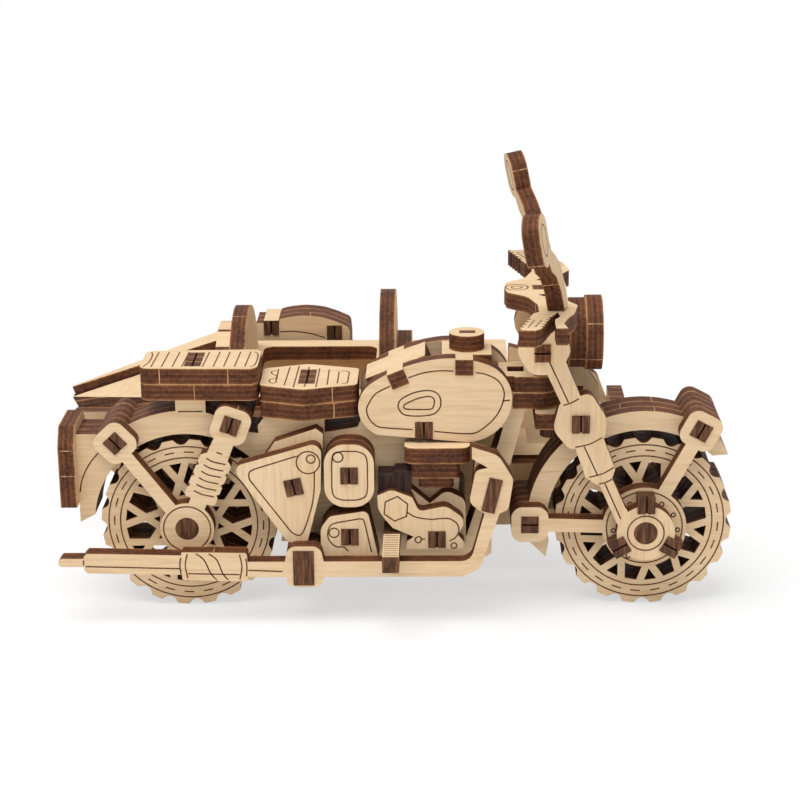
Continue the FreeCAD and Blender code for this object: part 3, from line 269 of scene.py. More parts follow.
class Finishes:
    """The materials, made once each and kept by name."""

    def __init__(self, wood):
        self.wood = wood
        self.groups = {"face": birch_face_group(), "edge": scorched_edge_group()}
        self.made = {}

    def start(self, name):
        """A new material, its tree, its Principled node and the places to texture it by."""
        material = bpy.data.materials.new(name)
        material.use_nodes = True
        tree = material.node_tree
        places = tree.nodes.new("ShaderNodeTexCoord").outputs
        return material, tree, tree.nodes["Principled BSDF"], places

    def grained(self, tree, place, direction):
        """A birch face node with its grain along one axis."""
        squashed = vector_maths(tree, "MULTIPLY", place, GRAIN[direction])
        return add_node(tree, "Group", node_tree=self.groups["face"], inputs={
            "Grain Place": squashed.outputs[0], "Pale": rgba(self.wood.pale),
            "Warm": rgba(self.wood.warm)})

    def surface(self, tree, shader, tone, roughness, relief, strength, distance):
        """A dull coloured surface with a fine relief, as deep as a distance in metres."""
        tree.links.new(tone, shader.inputs["Base Color"])
        shader.inputs["Specular IOR Level"].default_value = SPECULAR
        shader.inputs["Roughness"].default_value = roughness
        bump = add_node(tree, "Bump", inputs={
            "Strength": strength, "Distance": distance, "Height": relief})
        tree.links.new(bump.outputs[0], shader.inputs["Normal"])

    def plywood(self, axes, start, sheet, direction):
        """Pale faces across the axes and scorched edges; start is where the first sheet begins."""
        key = tuple(round(v, 4) for a in axes for v in a) + (round(start % sheet, 2), sheet, direction)
        if key in self.made:
            return self.made[key]
        name = "birch_plywood_%02d" % (len(self.made) + 1)
        material, tree, shader, places = self.start(name)
        place = places["Object"]
        face_mask = None
        for axis in axes:
            dot = vector_maths(tree, "DOT_PRODUCT", places["Normal"], tuple(axis))
            cosine = maths(tree, "ABSOLUTE", dot.outputs["Value"])
            facing = maths(tree, "GREATER_THAN", cosine, FACE_COSINE)
            face_mask = maths(tree, "MAXIMUM", face_mask, facing) if face_mask else facing
        along = vector_maths(tree, "DOT_PRODUCT", place, tuple(axes[0]))
        inwards = maths(tree, "SUBTRACT", along.outputs["Value"], start * MM)
        depth = maths(tree, "DIVIDE", inwards, sheet * MM)
        edge = add_node(tree, "Group", node_tree=self.groups["edge"], inputs={
            "Depth": depth, "Place": place, "Char": rgba(self.wood.char),
            "Toast": rgba(self.wood.toast), "Seam": rgba(self.wood.seam)})
        face = self.grained(tree, place, direction)
        tone = blend_colours(tree, face_mask, edge.outputs["Color"], face.outputs["Color"])
        on_face = maths(tree, "MULTIPLY", face_mask, 0.3)
        on_edge = maths(tree, "SUBTRACT", 1.0, face_mask)
        relief = maths(tree, "ADD", maths(tree, "MULTIPLY", face.outputs["Height"], on_face),
                       maths(tree, "MULTIPLY", edge.outputs["Height"], on_edge))
        self.surface(tree, shader, tone, 0.68, relief, 0.5, 0.00006)
        self.made[key] = material
        return material

    def scorched(self, name, tone):
        """Burnt ends of pegs and engraved lines: one tone with streaks."""
        if name in self.made:
            return self.made[name]
        material, tree, shader, places = self.start(name)
        squashed = vector_maths(tree, "MULTIPLY", places["Object"], BURNT_GRAIN)
        streak = spread(tree, noise(tree, squashed.outputs[0], STREAK_SCALE, 3.0, 0.6), 0.35, 0.72)
        lighter = [min(1.0, 1.9 * v) for v in tone]
        darker = [0.55 * v for v in tone]
        streaked = blend_colours(tree, streak, rgba(darker), rgba(lighter))
        self.surface(tree, shader, streaked, 0.65, streak, 0.4, 0.00005)
        self.made[name] = material
        return material

    def pale(self, name):
        """Bare birch with no scorched edge."""
        if name in self.made:
            return self.made[name]
        material, tree, shader, places = self.start(name)
        face = self.grained(tree, places["Object"], "X")
        tree.links.new(face.outputs["Color"], shader.inputs["Base Color"])
        shader.inputs["Roughness"].default_value = 0.66
        self.made[name] = material
        return material


# Mirrors by side, near -1 and far 1: degrees leant back and turned out, and place along X. The first
# row is that of both solids.
CAD_MIRROR = (17.0, 14.0, 32.2)
MIRRORS = {-1: (8.0, 12.5, 31.5), 1: (10.5, 10.0, 30.3)}
MIRROR_Y = 19.6
# How high up a mirror its head starts and ends, in the solids and as shown
CAD_HEIGHTS = (14.0, 27.5)
MIRROR_HEIGHTS = {-1: (12.9, 25.5), 1: (14.9, 26.6)}
# Nib lines: heights up the mirror, and 1 for its outer edge or -1 for its inner one
MIRROR_NIBS = {-1: ((6.6, 1), (14.1, 1), (8.0, -1)), 1: ((22.6, -1), (8.0, 1))}


def mirror_turn(side, lean, turn):
    outwards = Matrix.Rotation(math.radians(turn * side), 3, "Z")
    return outwards @ Matrix.Rotation(math.radians(-lean), 3, "Y")


def mirror_axes(side):
    """The mirror's own directions: across its face, up its stem and through its thickness."""
    turn = mirror_turn(side, *MIRRORS[side][:2])
    return turn @ Vector((0, side, 0)), turn @ Vector((0, 0, 1)), turn @ Vector((1, 0, 0))


def mirror_foot(side, x=None):
    """Where a mirror stands on the handlebar, as shown or at a given X."""
    return Vector((MIRRORS[side][2] if x is None else x, MIRROR_Y * side, HANDLEBAR_TOP)) + MIDDLE


SLOPE = math.radians(22)
SLOPE_NORMAL = Vector((-math.sin(SLOPE), 0, math.cos(SLOPE)))
SLOPE_FOOT = Vector((-10.2, 0, 54.8)) + MIDDLE
TAIL_TIP = Vector((-92.0, 46.0, BELT - 5.0)) + MIDDLE


def tail_normals():
    """Directions through the ridge sheet and the two facets of the boat tail."""
    tip = Vector((-92.0, 1.0, BELT - 7.6))
    low = Vector((-52.0, 24.5, BELT - 0.7)) - tip
    high = Vector((-52.0, 4.6, BELT + 6.7)) - tip
    facet = high.cross(low).normalized()
    ridge = Vector((-14.1, 0, 40.0)).normalized()
    return [ridge, facet, Vector((facet.x, -facet.y, facet.z))]


# How the sheets lie, by the start of a node's name; the others lie level
SIDE_PLATES = ("frame_plate", "tank_side", "triangle", "oval", "gearbox", "engine", "covers",
               "exhaust", "rear_stay", "fork_leg", "fender_stay", "front_fender", "sidecar_wall",
               "sidecar_nose", "sidecar_guard")
CROSS_PLATES = ("tail_board", "sidecar_backrest", "sidecar_windscreen", "headlight", "yoke_upper")
UPRIGHT_GRAIN = ("triangle", "oval", "gearbox", "engine", "covers", "tail_board", "headlight",
                 "mirror", "fork_leg")
PEGS = ("frame_pegs", "fork_pegs", "front_axle", "rear_axle", "sidecar_axle", "steering_pin")

# What the operators share: the materials, and the pieces in place of CAD nodes
FINISHES = {}
REPLACED = {}


def finish_of(node):
    """The plywood material of a CAD node, from how its sheet lies."""
    finishes = FINISHES["kit"]
    low = Vector(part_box(node)[0]) / MM
    direction = "Z" if node.startswith(UPRIGHT_GRAIN) else "X"
    if node in PEGS:
        return finishes.scorched("scorched_pegs", finishes.wood.peg)
    if node.startswith("mirror"):
        side = -1 if node.endswith("near") else 1
        through = mirror_axes(side)[2]
        return finishes.plywood([through], mirror_foot(side).dot(through), PLY, direction)
    if node == "tank_slope":
        return finishes.plywood([SLOPE_NORMAL], SLOPE_FOOT.dot(SLOPE_NORMAL), PLY, direction)
    if node == "sidecar_tail":
        normals = tail_normals()
        return finishes.plywood(normals + [AXES["X"]], TAIL_TIP.dot(normals[0]), PLY, direction)
    if node.endswith("wheel_plates"):
        return finishes.plywood([AXES["Y"]], low.y, WHEEL_PLY, direction)
    if node == "sidecar_nose_far":
        return finishes.plywood([AXES["Y"], AXES["X"]], low.y, PLY, direction)
    if node.startswith(SIDE_PLATES):
        return finishes.plywood([AXES["Y"]], low.y, PLY, direction)
    if node.startswith(CROSS_PLATES):
        return finishes.plywood([AXES["X"]], low.x, PLY, "Z" if direction == "Z" else "Y")
    return finishes.plywood([AXES["Z"]], low.z, PLY, direction)


# Engraved lines: drawn in a plane, and sunk into the sheet as thin dark ribbons

# How deep and how high ribbons reach
SINK = 0.05
PROUD = 0.02
NIB_WIDTH = 0.24
NIB_PROUD = 0.03
NIB_INSET = 0.15
RIB_PROUD = 0.05
# Steps between two points of a smooth line, and in a quarter circle
STEPS = 5
SHORTEST = 1e-6


class Plane:
    """A flat face: its origin, its two drawing directions and its outward direction, in millimetres."""

    def __init__(self, origin, across, up, out):
        self.origin, self.across, self.up, self.out = (Vector(v) for v in (origin, across, up, out))

    def at(self, u, w, lift):
        return (self.origin + u * self.across + w * self.up + lift * self.out) * MM


def near(y):
    """A side plate's face towards -Y."""
    return Plane(MIDDLE + Vector((0, y, 0)), (1, 0, 0), (0, 0, 1), (0, -1, 0))


def far(y):
    """A side plate's face towards +Y."""
    return Plane(MIDDLE + Vector((0, y, 0)), (1, 0, 0), (0, 0, 1), (0, 1, 0))


def level(z):
    """A level plate's upper face."""
    return Plane(MIDDLE + Vector((0, 0, z)), (1, 0, 0), (0, 1, 0), (0, 0, 1))


def cross(x):
    """A cross plate's face towards +X."""
    return Plane(MIDDLE + Vector((x, 0, 0)), (0, 1, 0), (0, 0, 1), (1, 0, 0))


def mirror_plane(side, sign):
    """The front (1) or the back (-1) of a mirror."""
    across, up, through = mirror_axes(side)
    origin = mirror_foot(side) + (through * PLY if sign > 0 else Vector((0, 0, 0)))
    return Plane(origin, across, up, through * sign)


def curve(*points):
    """An open smooth line through points."""
    return smooth(points, False), False


def loop(*points):
    """A closed smooth line through points."""
    return smooth(points, True), True


def line(*points):
    return [Vector(p) for p in points], False


def outline(*points):
    return [Vector(p) for p in points], True


def ring(cx, cz, radius, count=48):
    angles = [2 * math.pi * k / count for k in range(count)]
    return [Vector((cx + radius * math.cos(a), cz + radius * math.sin(a))) for a in angles], True


def dash(cx, cz, radius, degrees, width):
    """A short piece of a circle about a centre."""
    angles = [math.radians(degrees + width * (k / 4 - 0.5)) for k in range(5)]
    return [Vector((cx + radius * math.cos(a), cz + radius * math.sin(a))) for a in angles], False


def smooth(points, closed):
    """Points along a Catmull-Rom curve."""
    knots = [Vector(p) for p in points]
    count = len(knots)
    result = []
    for k in range(count if closed else count - 1):
        places = range(k - 1, k + 3)
        a, b, c, d = (knots[p % count if closed else min(max(p, 0), count - 1)] for p in places)
        for step in range(STEPS):
            t = step / STEPS
            result.append(0.5 * (2 * b + t * (c - a) + t * t * (2 * a - 5 * b + 4 * c - d)
                                 + t ** 3 * (3 * b - a - 3 * c + d)))
    if not closed:
        result.append(knots[-1])
    return result


def ribbon(mesh, plane, points, closed, width, sink=SINK, proud=PROUD):
    """A closed prism along a drawn line, mostly sunk in its sheet."""
    count = len(points)
    rows = []
    for k, point in enumerate(points):
        before = points[k - 1] if closed or k else point
        after = points[(k + 1) % count] if closed or k < count - 1 else point
        came, goes = point - before, after - point
        ahead = (goes if goes.length > SHORTEST else came).normalized()
        behind = came.normalized() if came.length > SHORTEST else ahead
        along = (ahead + behind).normalized()
        side = Vector((-along.y, along.x)) * width / 2 / max(0.5, along.dot(ahead))
        rows.append([mesh.verts.new(plane.at(*(point + s * side), lift))
                     for s, lift in ((1, -sink), (1, proud), (-1, proud), (-1, -sink))])
    for k in range(count if closed else count - 1):
        here, there = rows[k], rows[(k + 1) % count]
        for j in range(4):
            mesh.faces.new((here[j], there[j], there[(j + 1) % 4], here[(j + 1) % 4]))
    if not closed:
        mesh.faces.new(rows[0])
        mesh.faces.new(rows[-1][::-1])


def add_piece(mesh, name, body, material):
    """A mesh made into an object that rides on a body."""
    bmesh.ops.recalc_face_normals(mesh, faces=mesh.faces)
    data = bpy.data.meshes.new(name)
    mesh.to_mesh(data)
    mesh.free()
    data.materials.append(material)
    piece = bpy.data.objects.new(name, data)
    bpy.context.scene.collection.objects.link(piece)
    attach(piece, body)
    return piece


def engrave(name, body, groups, width=None):
    """All engraved lines of one part: groups of a plane and its lines."""
    finishes = FINISHES["kit"]
    mesh = bmesh.new()
    for plane, lines in groups:
        for points, closed in lines:
            ribbon(mesh, plane, points, closed, width or finishes.wood.line_width / MM)
    finish = finishes.scorched("engraved_lines", finishes.wood.line)
    add_piece(mesh, name, body, finish)


def both(lines, reach, middle=0.0):
    """The same lines on the two outer faces of a part."""
    return [(near(middle - reach), lines), (far(middle + reach), lines)]


def nib(mesh, node, start, direction, along):
    """A pale nib line across an edge: found where a ray from a drawn place meets the node."""
    thing = REPLACED.get(node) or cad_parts[node]
    tree = BVHTree.FromPolygons([v.co for v in thing.data.vertices],
                                [p.vertices for p in thing.data.polygons])
    spot, normal = tree.ray_cast((Vector(start) + MIDDLE) * MM, Vector(direction))[:2]
    if spot is None:
        raise RuntimeError("no edge for a nib on " + node)
    along = Vector(along).normalized()
    across = normal.cross(along).normalized()
    half = PLY / 2 - NIB_INSET
    ribbon(mesh, Plane(spot / MM, across, along, normal), [Vector((0, -half)), Vector((0, half))],
           False, NIB_WIDTH, SINK, NIB_PROUD)


def slab(mesh, plane, points, thick):
    """A closed plate from its outline on a plane, going inwards."""
    rows = [[mesh.verts.new(plane.at(u, w, lift)) for u, w in points] for lift in (0, -thick)]
    mesh.faces.new(rows[0])
    mesh.faces.new(rows[1][::-1])
    for k in range(len(points)):
        after = (k + 1) % len(points)
        mesh.faces.new((rows[0][k], rows[1][k], rows[1][after], rows[0][after]))


def face_loops(node, y):
    """The outlines of a side plate's face at a drawn Y, the outer one first, as drawn X and Z."""
    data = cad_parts[node].data
    places = [v.co / MM - MIDDLE for v in data.vertices]
    uses = {}
    for polygon in data.polygons:
        corners = list(polygon.vertices)
        if all(abs(places[v].y - y) < 0.01 for v in corners):
            for a, b in zip(corners, corners[1:] + corners[:1]):
                ends = [tuple(round(c, 3) for c in (places[v].x, places[v].z)) for v in (a, b)]
                uses.setdefault(frozenset(ends), []).append(ends)
    follows = {ends[0][0]: ends[0][1] for ends in uses.values() if len(ends) == 1}
    loops = []
    while follows:
        here = next(iter(follows))
        points = []
        while here in follows:
            points.append(here)
            here = follows.pop(here)
        loops.append(points)
    return sorted(loops, key=lambda points: min(points)[0])


def cut_slab(mesh, plane, loops, thick):
    """A closed plate with holes: its outline and then its holes, going inwards from a plane."""
    for lift in (0, -thick):
        edges = []
        for points in loops:
            corners = [mesh.verts.new(plane.at(u, w, lift)) for u, w in points]
            edges += [mesh.edges.new((corners[k - 1], corners[k])) for k in range(len(corners))]
        bmesh.ops.triangle_fill(mesh, edges=edges, use_beauty=True)
    mesh.verts.ensure_lookup_table()
    half = len(mesh.verts) // 2
    first = 0
    for points in loops:
        for k in range(len(points)):
            a, b = first + k, first + (k + 1) % len(points)
            mesh.faces.new([mesh.verts[v] for v in (a, a + half, b + half, b)])
        first += len(points)


def rounded_box(low, high, radius):
    """Corners of a rectangle rounded by short chords."""
    right, top = high[0] - radius, high[1] - radius
    left, bottom = low[0] + radius, low[1] + radius
    points = []
    for quarter, (x, y) in enumerate(((right, top), (left, top), (left, bottom), (right, bottom))):
        for step in range(STEPS + 1):
            angle = math.pi / 2 * (quarter + step / STEPS)
            points.append((x + radius * math.cos(angle), y + radius * math.sin(angle)))
    return points


# The wheels: axle, middle plate and turn of the first dash
WHEELS = (("front", AXLE_X, 0.0, 100.5), ("rear", -AXLE_X, 0.0, 102.9),
          ("sidecar", SIDECAR_AXLE_X, SIDECAR_WHEEL_Y, 100.5))
RIM_RINGS = (19.75, 16.9)
RIM_SIDES = 72
DASHES = 24
DASH_RADIUS = 18.35
DASH_TURN = 7.5
AXLE_TAB = 1.25


def wheel_lines(x, turn):
    lines = [ring(x, AXLE_Z, radius, RIM_SIDES) for radius in RIM_RINGS]
    for k in range(DASHES):
        lines.append(dash(x, AXLE_Z, DASH_RADIUS, turn + 360 / DASHES * k, DASH_TURN))
    return lines


TANK = [
    curve((-5.7, 57.8), (-9.1, 56.0), (-10.9, 53.4), (-11.4, 51.7), (-10.7, 49.5), (-9.1, 47.9),
          (-7.2, 47.4), (-0.4, 46.9)),
    curve((4.8, 46.4), (13.2, 45.8), (16.2, 46.9), (19.3, 49.8), (21.0, 53.0), (21.5, 56.2), (20.1, 59.0),
          (17.3, 60.6), (14.7, 61.1)),
    curve((-1.3, 59.9), (2.3, 61.1), (6.1, 61.6), (9.4, 61.5)),
    loop((-3.8, 53.1), (-3.0, 54.6), (0.1, 56.2), (3.6, 56.7), (5.7, 55.8), (6.4, 53.9), (6.0, 52.1),
         (4.4, 50.7), (1.1, 50.3), (-2.2, 50.6), (-3.5, 51.8)),
    loop((-2.5, 52.8), (-1.8, 53.5), (1.2, 54.8), (3.7, 55.2), (4.8, 54.4), (4.6, 52.7), (3.7, 52.0),
         (-0.8, 52.0), (-2.2, 52.2)),
    line((21.2, 54.0), (22.9, 54.2)),
]
TRIANGLE = [
    line((-28.0, 41.7), (-38.4, 38.4)), curve((-38.4, 38.4), (-39.7, 37.5), (-39.7, 35.8)),
    line((-39.7, 35.8), (-30.0, 22.3)),
    curve((-30.0, 22.3), (-28.5, 21.4), (-27.1, 22.2), (-25.3, 27.2), (-24.3, 31.8), (-24.0, 37.6)),
    ring(-25.5, 40.0, 2.8), ring(-24.8, 40.9, 1.05, 24),
]
OVAL = [
    loop((-19.85, 36.5), (-19.8, 39.9), (-19.3, 42.0), (-17.6, 42.75), (-15.7, 42.8), (-13.6, 42.7),
         (-11.9, 41.9), (-11.3, 40.0), (-11.3, 36.5), (-11.35, 33.2), (-11.9, 31.3), (-13.7, 30.5),
         (-15.6, 30.4), (-17.6, 30.5), (-19.3, 31.3), (-19.85, 33.2)),
    ring(-18.35, 41.35, 1.25, 24),
]
GEARBOX = [
    curve((-16.2, 17.2), (-17.4, 18.3), (-19.1, 18.4), (-20.8, 20.0), (-21.1, 22.1), (-20.4, 23.9),
          (-18.9, 24.6)),
    line((-18.9, 24.6), (-13.3, 25.6)), curve((-13.3, 25.6), (-12.5, 25.4), (-12.2, 24.8)),
    line((-12.2, 24.8), (-10.6, 17.0)), ring(-19.6, 22.0, 1.2, 24),
]
ENGINE = [
    outline((-4.1, 31.3), (-1.7, 29.3), (-2.0, 26.2), (-4.9, 25.0), (-7.4, 26.8), (-7.1, 29.9)),
    curve((-1.8, 27.2), (0.2, 26.0), (3.7, 25.4), (6.4, 25.6), (8.4, 25.5), (10.1, 24.3), (10.6, 22.5),
          (9.8, 20.7), (8.3, 19.8)),
    curve((1.6, 20.3), (1.1, 20.9), (0.3, 20.7), (0.0, 20.0), (0.5, 19.4), (1.2, 19.5), (1.6, 20.2),
          (2.4, 20.3)),
    ring(9.4, 18.6, 0.7, 20),
]
SHOCK = [line((-47.8, 41.3), (-46.4, 40.8))] + [
    curve((-50.35 - 0.66 * k, 39.85 - 1.66 * k), (-48.6 - 0.63 * k, 38.85 - 1.66 * k),
          (-45.7 - 0.62 * k, 38.2 - 1.66 * k)) for k in range(6)] + [ring(-AXLE_X, AXLE_Z, 5.75)]
EXHAUST = [
    line((-79.7, 15.0), (-56.9, 14.4)), line((-80.1, 16.6), (-80.1, 15.3)),
    curve((-56.5, 17.2), (-56.8, 15.3), (-56.6, 12.9)), curve((-54.9, 18.2), (-55.5, 15.2), (-55.0, 11.9)),
    curve((-42.3, 18.0), (-41.8, 14.8), (-42.4, 11.5)),
    curve((-40.75, 17.0), (-40.6, 14.6), (-40.75, 12.4)),
    curve((-52.9, 18.3), (-50.9, 16.6), (-49.4, 13.1), (-48.0, 11.5)),
    curve((-49.7, 18.2), (-47.8, 16.6), (-46.5, 13.1), (-45.2, 11.4)), line((-54.9, 13.1), (-42.4, 12.8)),
    line((-40.3, 13.9), (-32.0, 13.6)),
]
FORK_LEG = [
    line((31.7, 65.5), (36.6, 54.8)), curve((35.4, 54.1), (37.2, 54.7), (39.1, 55.75)),
    curve((38.4, 43.6), (41.8, 44.4), (44.7, 46.0)), curve((41.8, 36.0), (45.0, 36.9), (47.6, 38.45)),
    curve((44.2, 34.3), (45.8, 34.7), (47.3, 35.5)), line((40.5, 43.75), (43.75, 36.6)),
    line((45.6, 34.4), (49.6, 25.3)), ring(AXLE_X, AXLE_Z, 4.4, 36),
]
DISC_PEGS = ((52.1, 27.6), (59.8, 27.6), (62.65, 24.8), (63.8, 20.95), (48.2, 20.8), (51.9, 14.1))
DISC = [ring(x, z, 0.5, 12) for x, z in DISC_PEGS] + [ring(AXLE_X, AXLE_Z, 9.2)]
REAR_FENDER = [
    curve((-77.1, 39.9), (-79.0, 37.7), (-80.5, 35.2), (-81.6, 32.5), (-82.1, 29.8)),
    line((-57.2, 50.4), (-51.2, 50.4)),
]
PILLION_RIBS = (-63.0, -60.5, -57.9, -55.6, -50.6, -48.0, -45.5, -42.9, -40.4)
PILLION = [line((x + 0.2, 6.4), (x - 0.2, -6.3)) for x in PILLION_RIBS] + [
    curve((-64.6, 6.3), (-64.1, 3.2), (-64.2, -2.0), (-65.2, -6.3)),
    curve((-39.4, 6.2), (-38.4, 4.6), (-38.1, 0.0), (-38.4, -5.2), (-39.4, -6.3))]
RIDER = [
    line((-33.5, 6.4), (-33.4, -5.3)), line((-30.8, 8.1), (-31.2, -7.2)), line((-28.6, 9.2), (-28.9, -8.9)),
    line((-26.1, 8.0), (-26.1, 5.1)), line((-26.2, -5.7), (-26.3, -8.4)), line((-23.4, 6.8), (-23.5, -8.9)),
    line((-21.0, 5.7), (-20.9, -6.9)), line((-18.5, 4.0), (-18.5, -5.8)),
    curve((-17.9, 4.5), (-16.6, 4.3), (-16.0, 3.1), (-16.0, 0.6), (-16.1, -4.8), (-16.6, -5.8),
          (-17.5, -5.8)),
    curve((-33.8, 5.3), (-34.8, 4.8), (-35.1, 3.5), (-34.6, 2.0), (-33.7, 0.9), (-33.4, -0.3),
          (-33.8, -1.4), (-34.9, -2.2), (-35.1, -3.5), (-34.6, -5.0), (-33.6, -5.7)),
]
GUARD_TOP = [
    (-38.6, 50.9), (-37.1, 51.3), (-35.4, 51.6), (-33.6, 51.8), (-31.7, 51.9), (-29.9, 51.8), (-28.1, 51.6),
    (-26.3, 51.3), (-24.5, 50.7), (-22.7, 50.1), (-21.0, 49.3), (-19.8, 48.8), (-19.2, 48.2), (-19.0, 47.2),
]
GUARD = [line((-45.0, 43.2), (-19.3, 43.2)),
         curve((-38.5, 47.3), (-34.5, 47.4), (-30.2, 46.8), (-26.0, 45.5))]

# The guard's open notch, and the peg in it: X, both ends and width
GUARD_NOTCH = [(-45.1, 49.8), (-42.8, 49.8), (-42.8, 46.6), (-39.0, 46.6)]
GUARD_PEG = (-40.9, 75.75, 88.25, 4.1)
HIGHEST_HOLE = 49.9  # the notch opens the one hole that reaches higher
# The foot peg: X, both ends and width; its ribs: both ends, first place, step, number and width
FOOT_PEG = (-5.6, -29.9, -15.0, 3.9)
FOOT_RIBS = (-7.3, -3.9, -16.0, 1.2, 12, 0.28)

# The cylinder's level fins: two corners, top, thickness and rounding
CYLINDER_FINS = (((-2.4, -14.0), (13.3, -6.0), 43.5, PLY, 2.4),
                 ((-0.8, -13.0), (10.9, -6.0), 39.5, PLY, 1.2),
                 ((1.0, -12.2), (9.4, -6.0), 35.5, 2.6, 1.2))
# Its upright burnt plates: front face and top
CYLINDER_PLATES = ((-4.8, 36.4), (-0.8, 37.1))

# The handlebar's gauge, and the two rows of short lines on each grip
GAUGE_X = 24.7
GRIP_ROWS = (((26.0, -36.0), (27.7, -29.6)), ((27.6, -35.6), (29.4, -29.4)))
GRIP_LINES = 6
BAR_LINE = 0.36
CAP_SLIT = 2.4
# The slanting oval on a mirror's head: its middle, half width, half height and slant
MIRROR_OVAL = (14.8, 2.5, 3.7, 0.42)


class PLYMOTO_OT_mirrors(bpy.types.Operator):
    """Stand each mirror plate at its own lean and turn"""
    bl_idname = "plymoto.mirrors"
    bl_label = "Mirrors"

    def execute(self, context):
        for name, side in (("mirror_near", -1), ("mirror_far", 1)):
            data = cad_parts[name].data.copy()
            data.transform(self.stand(side, *CAD_MIRROR).inverted())
            for vertex in data.vertices:
                vertex.co.z = self.height(vertex.co.z / MM, side) * MM
            data.transform(self.stand(side, *MIRRORS[side]))
            data.materials.clear()
            data.materials.append(finish_of(name))
            piece = bpy.data.objects.new(name + "_plate", data)
            context.scene.collection.objects.link(piece)
            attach(piece, "fork")
            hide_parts(name)
            REPLACED[name] = piece
        return {"FINISHED"}

    def stand(self, side, lean, turn, x):
        """From a mirror's own directions and foot to the model's, in metres."""
        foot = Matrix.Translation(mirror_foot(side, x) * MM)
        return foot @ mirror_turn(side, lean, turn).to_4x4()

    def height(self, given, side):
        """A height up the CAD plate moved to its height in the photo, in straight steps."""
        cad_foot, cad_top = CAD_HEIGHTS
        foot, top = MIRROR_HEIGHTS[side]
        if given < cad_foot:
            return given * foot / cad_foot
        return foot + (given - cad_foot) * (top - foot) / (cad_top - cad_foot)


class PLYMOTO_OT_cylinder(bpy.types.Operator):
    """Stack the cylinder: level fins on the right and upright plates on the left"""
    bl_idname = "plymoto.cylinder"
    bl_label = "Cylinder"

    def execute(self, context):
        finishes = FINISHES["kit"]
        mesh = bmesh.new()
        for low, high, top, thick, radius in CYLINDER_FINS:
            slab(mesh, level(top), rounded_box(low, high, radius), thick)
        finish = finishes.plywood([AXES["Z"]], CYLINDER_FINS[1][2], PLY, "X")
        fins = add_piece(mesh, "cylinder_fins", "chassis", finish)
        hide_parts("cylinder_head")
        mesh = bmesh.new()
        for x, top in CYLINDER_PLATES:
            slab(mesh, cross(x), rounded_box((-12.0, 29.5), (-6.0, top), 0.5), PLY)
        finish = finishes.scorched("charred_plates", CHARRED)
        add_piece(mesh, "cylinder_cross_plates", "chassis", finish)
        return {"FINISHED"}


class PLYMOTO_OT_wheel_guard(bpy.types.Operator):
    """Cut the wheel guard's plates with one smooth top and a notch for the left peg"""
    bl_idname = "plymoto.wheel_guard"
    bl_label = "Wheel guard"

    def execute(self, context):
        self.plates("sidecar_guard_panel", PANEL_FACE, PLY, self.panel_outline)
        self.plates("sidecar_guard_arch", ARCH_FACE, 2 * PLY, self.arch_outline)
        x, start, end, width = GUARD_PEG
        mesh = bmesh.new()
        ribbon(mesh, level(GUARD_PEG_TOP), [Vector((x, start)), Vector((x, end))], False, width)
        add_piece(mesh, "guard_peg_top", "chassis", FINISHES["kit"].pale("bare_birch"))
        return {"FINISHED"}

    def plates(self, node, y, thick, outline_of):
        """A node's plates again with another outline and the holes below the notch."""
        outer, *holes = face_loops(node, y)
        holes = [hole for hole in holes if max(point[1] for point in hole) < HIGHEST_HOLE]
        mesh = bmesh.new()
        cut_slab(mesh, near(y), [outline_of(outer)] + holes, thick)
        piece = add_piece(mesh, node + "_smooth", "chassis", finish_of(node))
        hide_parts(node)
        REPLACED[node] = piece

    def panel_outline(self, outer):
        """The guard's top, and down to the panel's level foot."""
        right = [(-19.1, 43.2), (-12.6, 43.2), (-12.6, 16.0)]
        return [(-46.0, 16.0)] + GUARD_NOTCH + GUARD_TOP + right

    def arch_outline(self, outer):
        """The guard's top, and back along the CAD arch over the wheel."""
        axle = Vector((SIDECAR_AXLE_X, AXLE_Z))
        reach = min((Vector(p) - axle).length for p in outer)
        inner = [p for p in outer if (Vector(p) - axle).length < reach + 0.05]
        inner.sort(key=lambda p: -p[0])
        return GUARD_NOTCH + GUARD_TOP + [(-18.8, 44.8)] + inner


class PLYMOTO_OT_engrave_wheels(bpy.types.Operator):
    """Score the rings and dashes of the three wheels and the marks of their axles"""
    bl_idname = "plymoto.engrave_wheels"
    bl_label = "Wheel engravings"

    def execute(self, context):
        for name, x, middle, turn in WHEELS:
            faces = both(wheel_lines(x, turn), 1.5 * WHEEL_PLY, middle)
            engrave("engraving_%s_wheel" % name, name + "_wheel", faces)
            self.axle_marks(name, x)
        return {"FINISHED"}

    def axle_marks(self, name, x):
        """The tab and its middle line seen in each end of an axle."""
        low, high = (Vector(v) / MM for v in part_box(name + "_axle"))
        left, right, foot, top = x - AXLE_TAB, x + AXLE_TAB, AXLE_Z - AXLE_TAB, AXLE_Z + AXLE_TAB
        marks = [outline((left, foot), (right, foot), (right, top), (left, top)),
                 line((x, foot), (x, top))]
        ends = [(near(low.y - MIDDLE.y), marks), (far(high.y - MIDDLE.y), marks)]
        engrave("engraving_%s_axle" % name, name + "_wheel", ends)


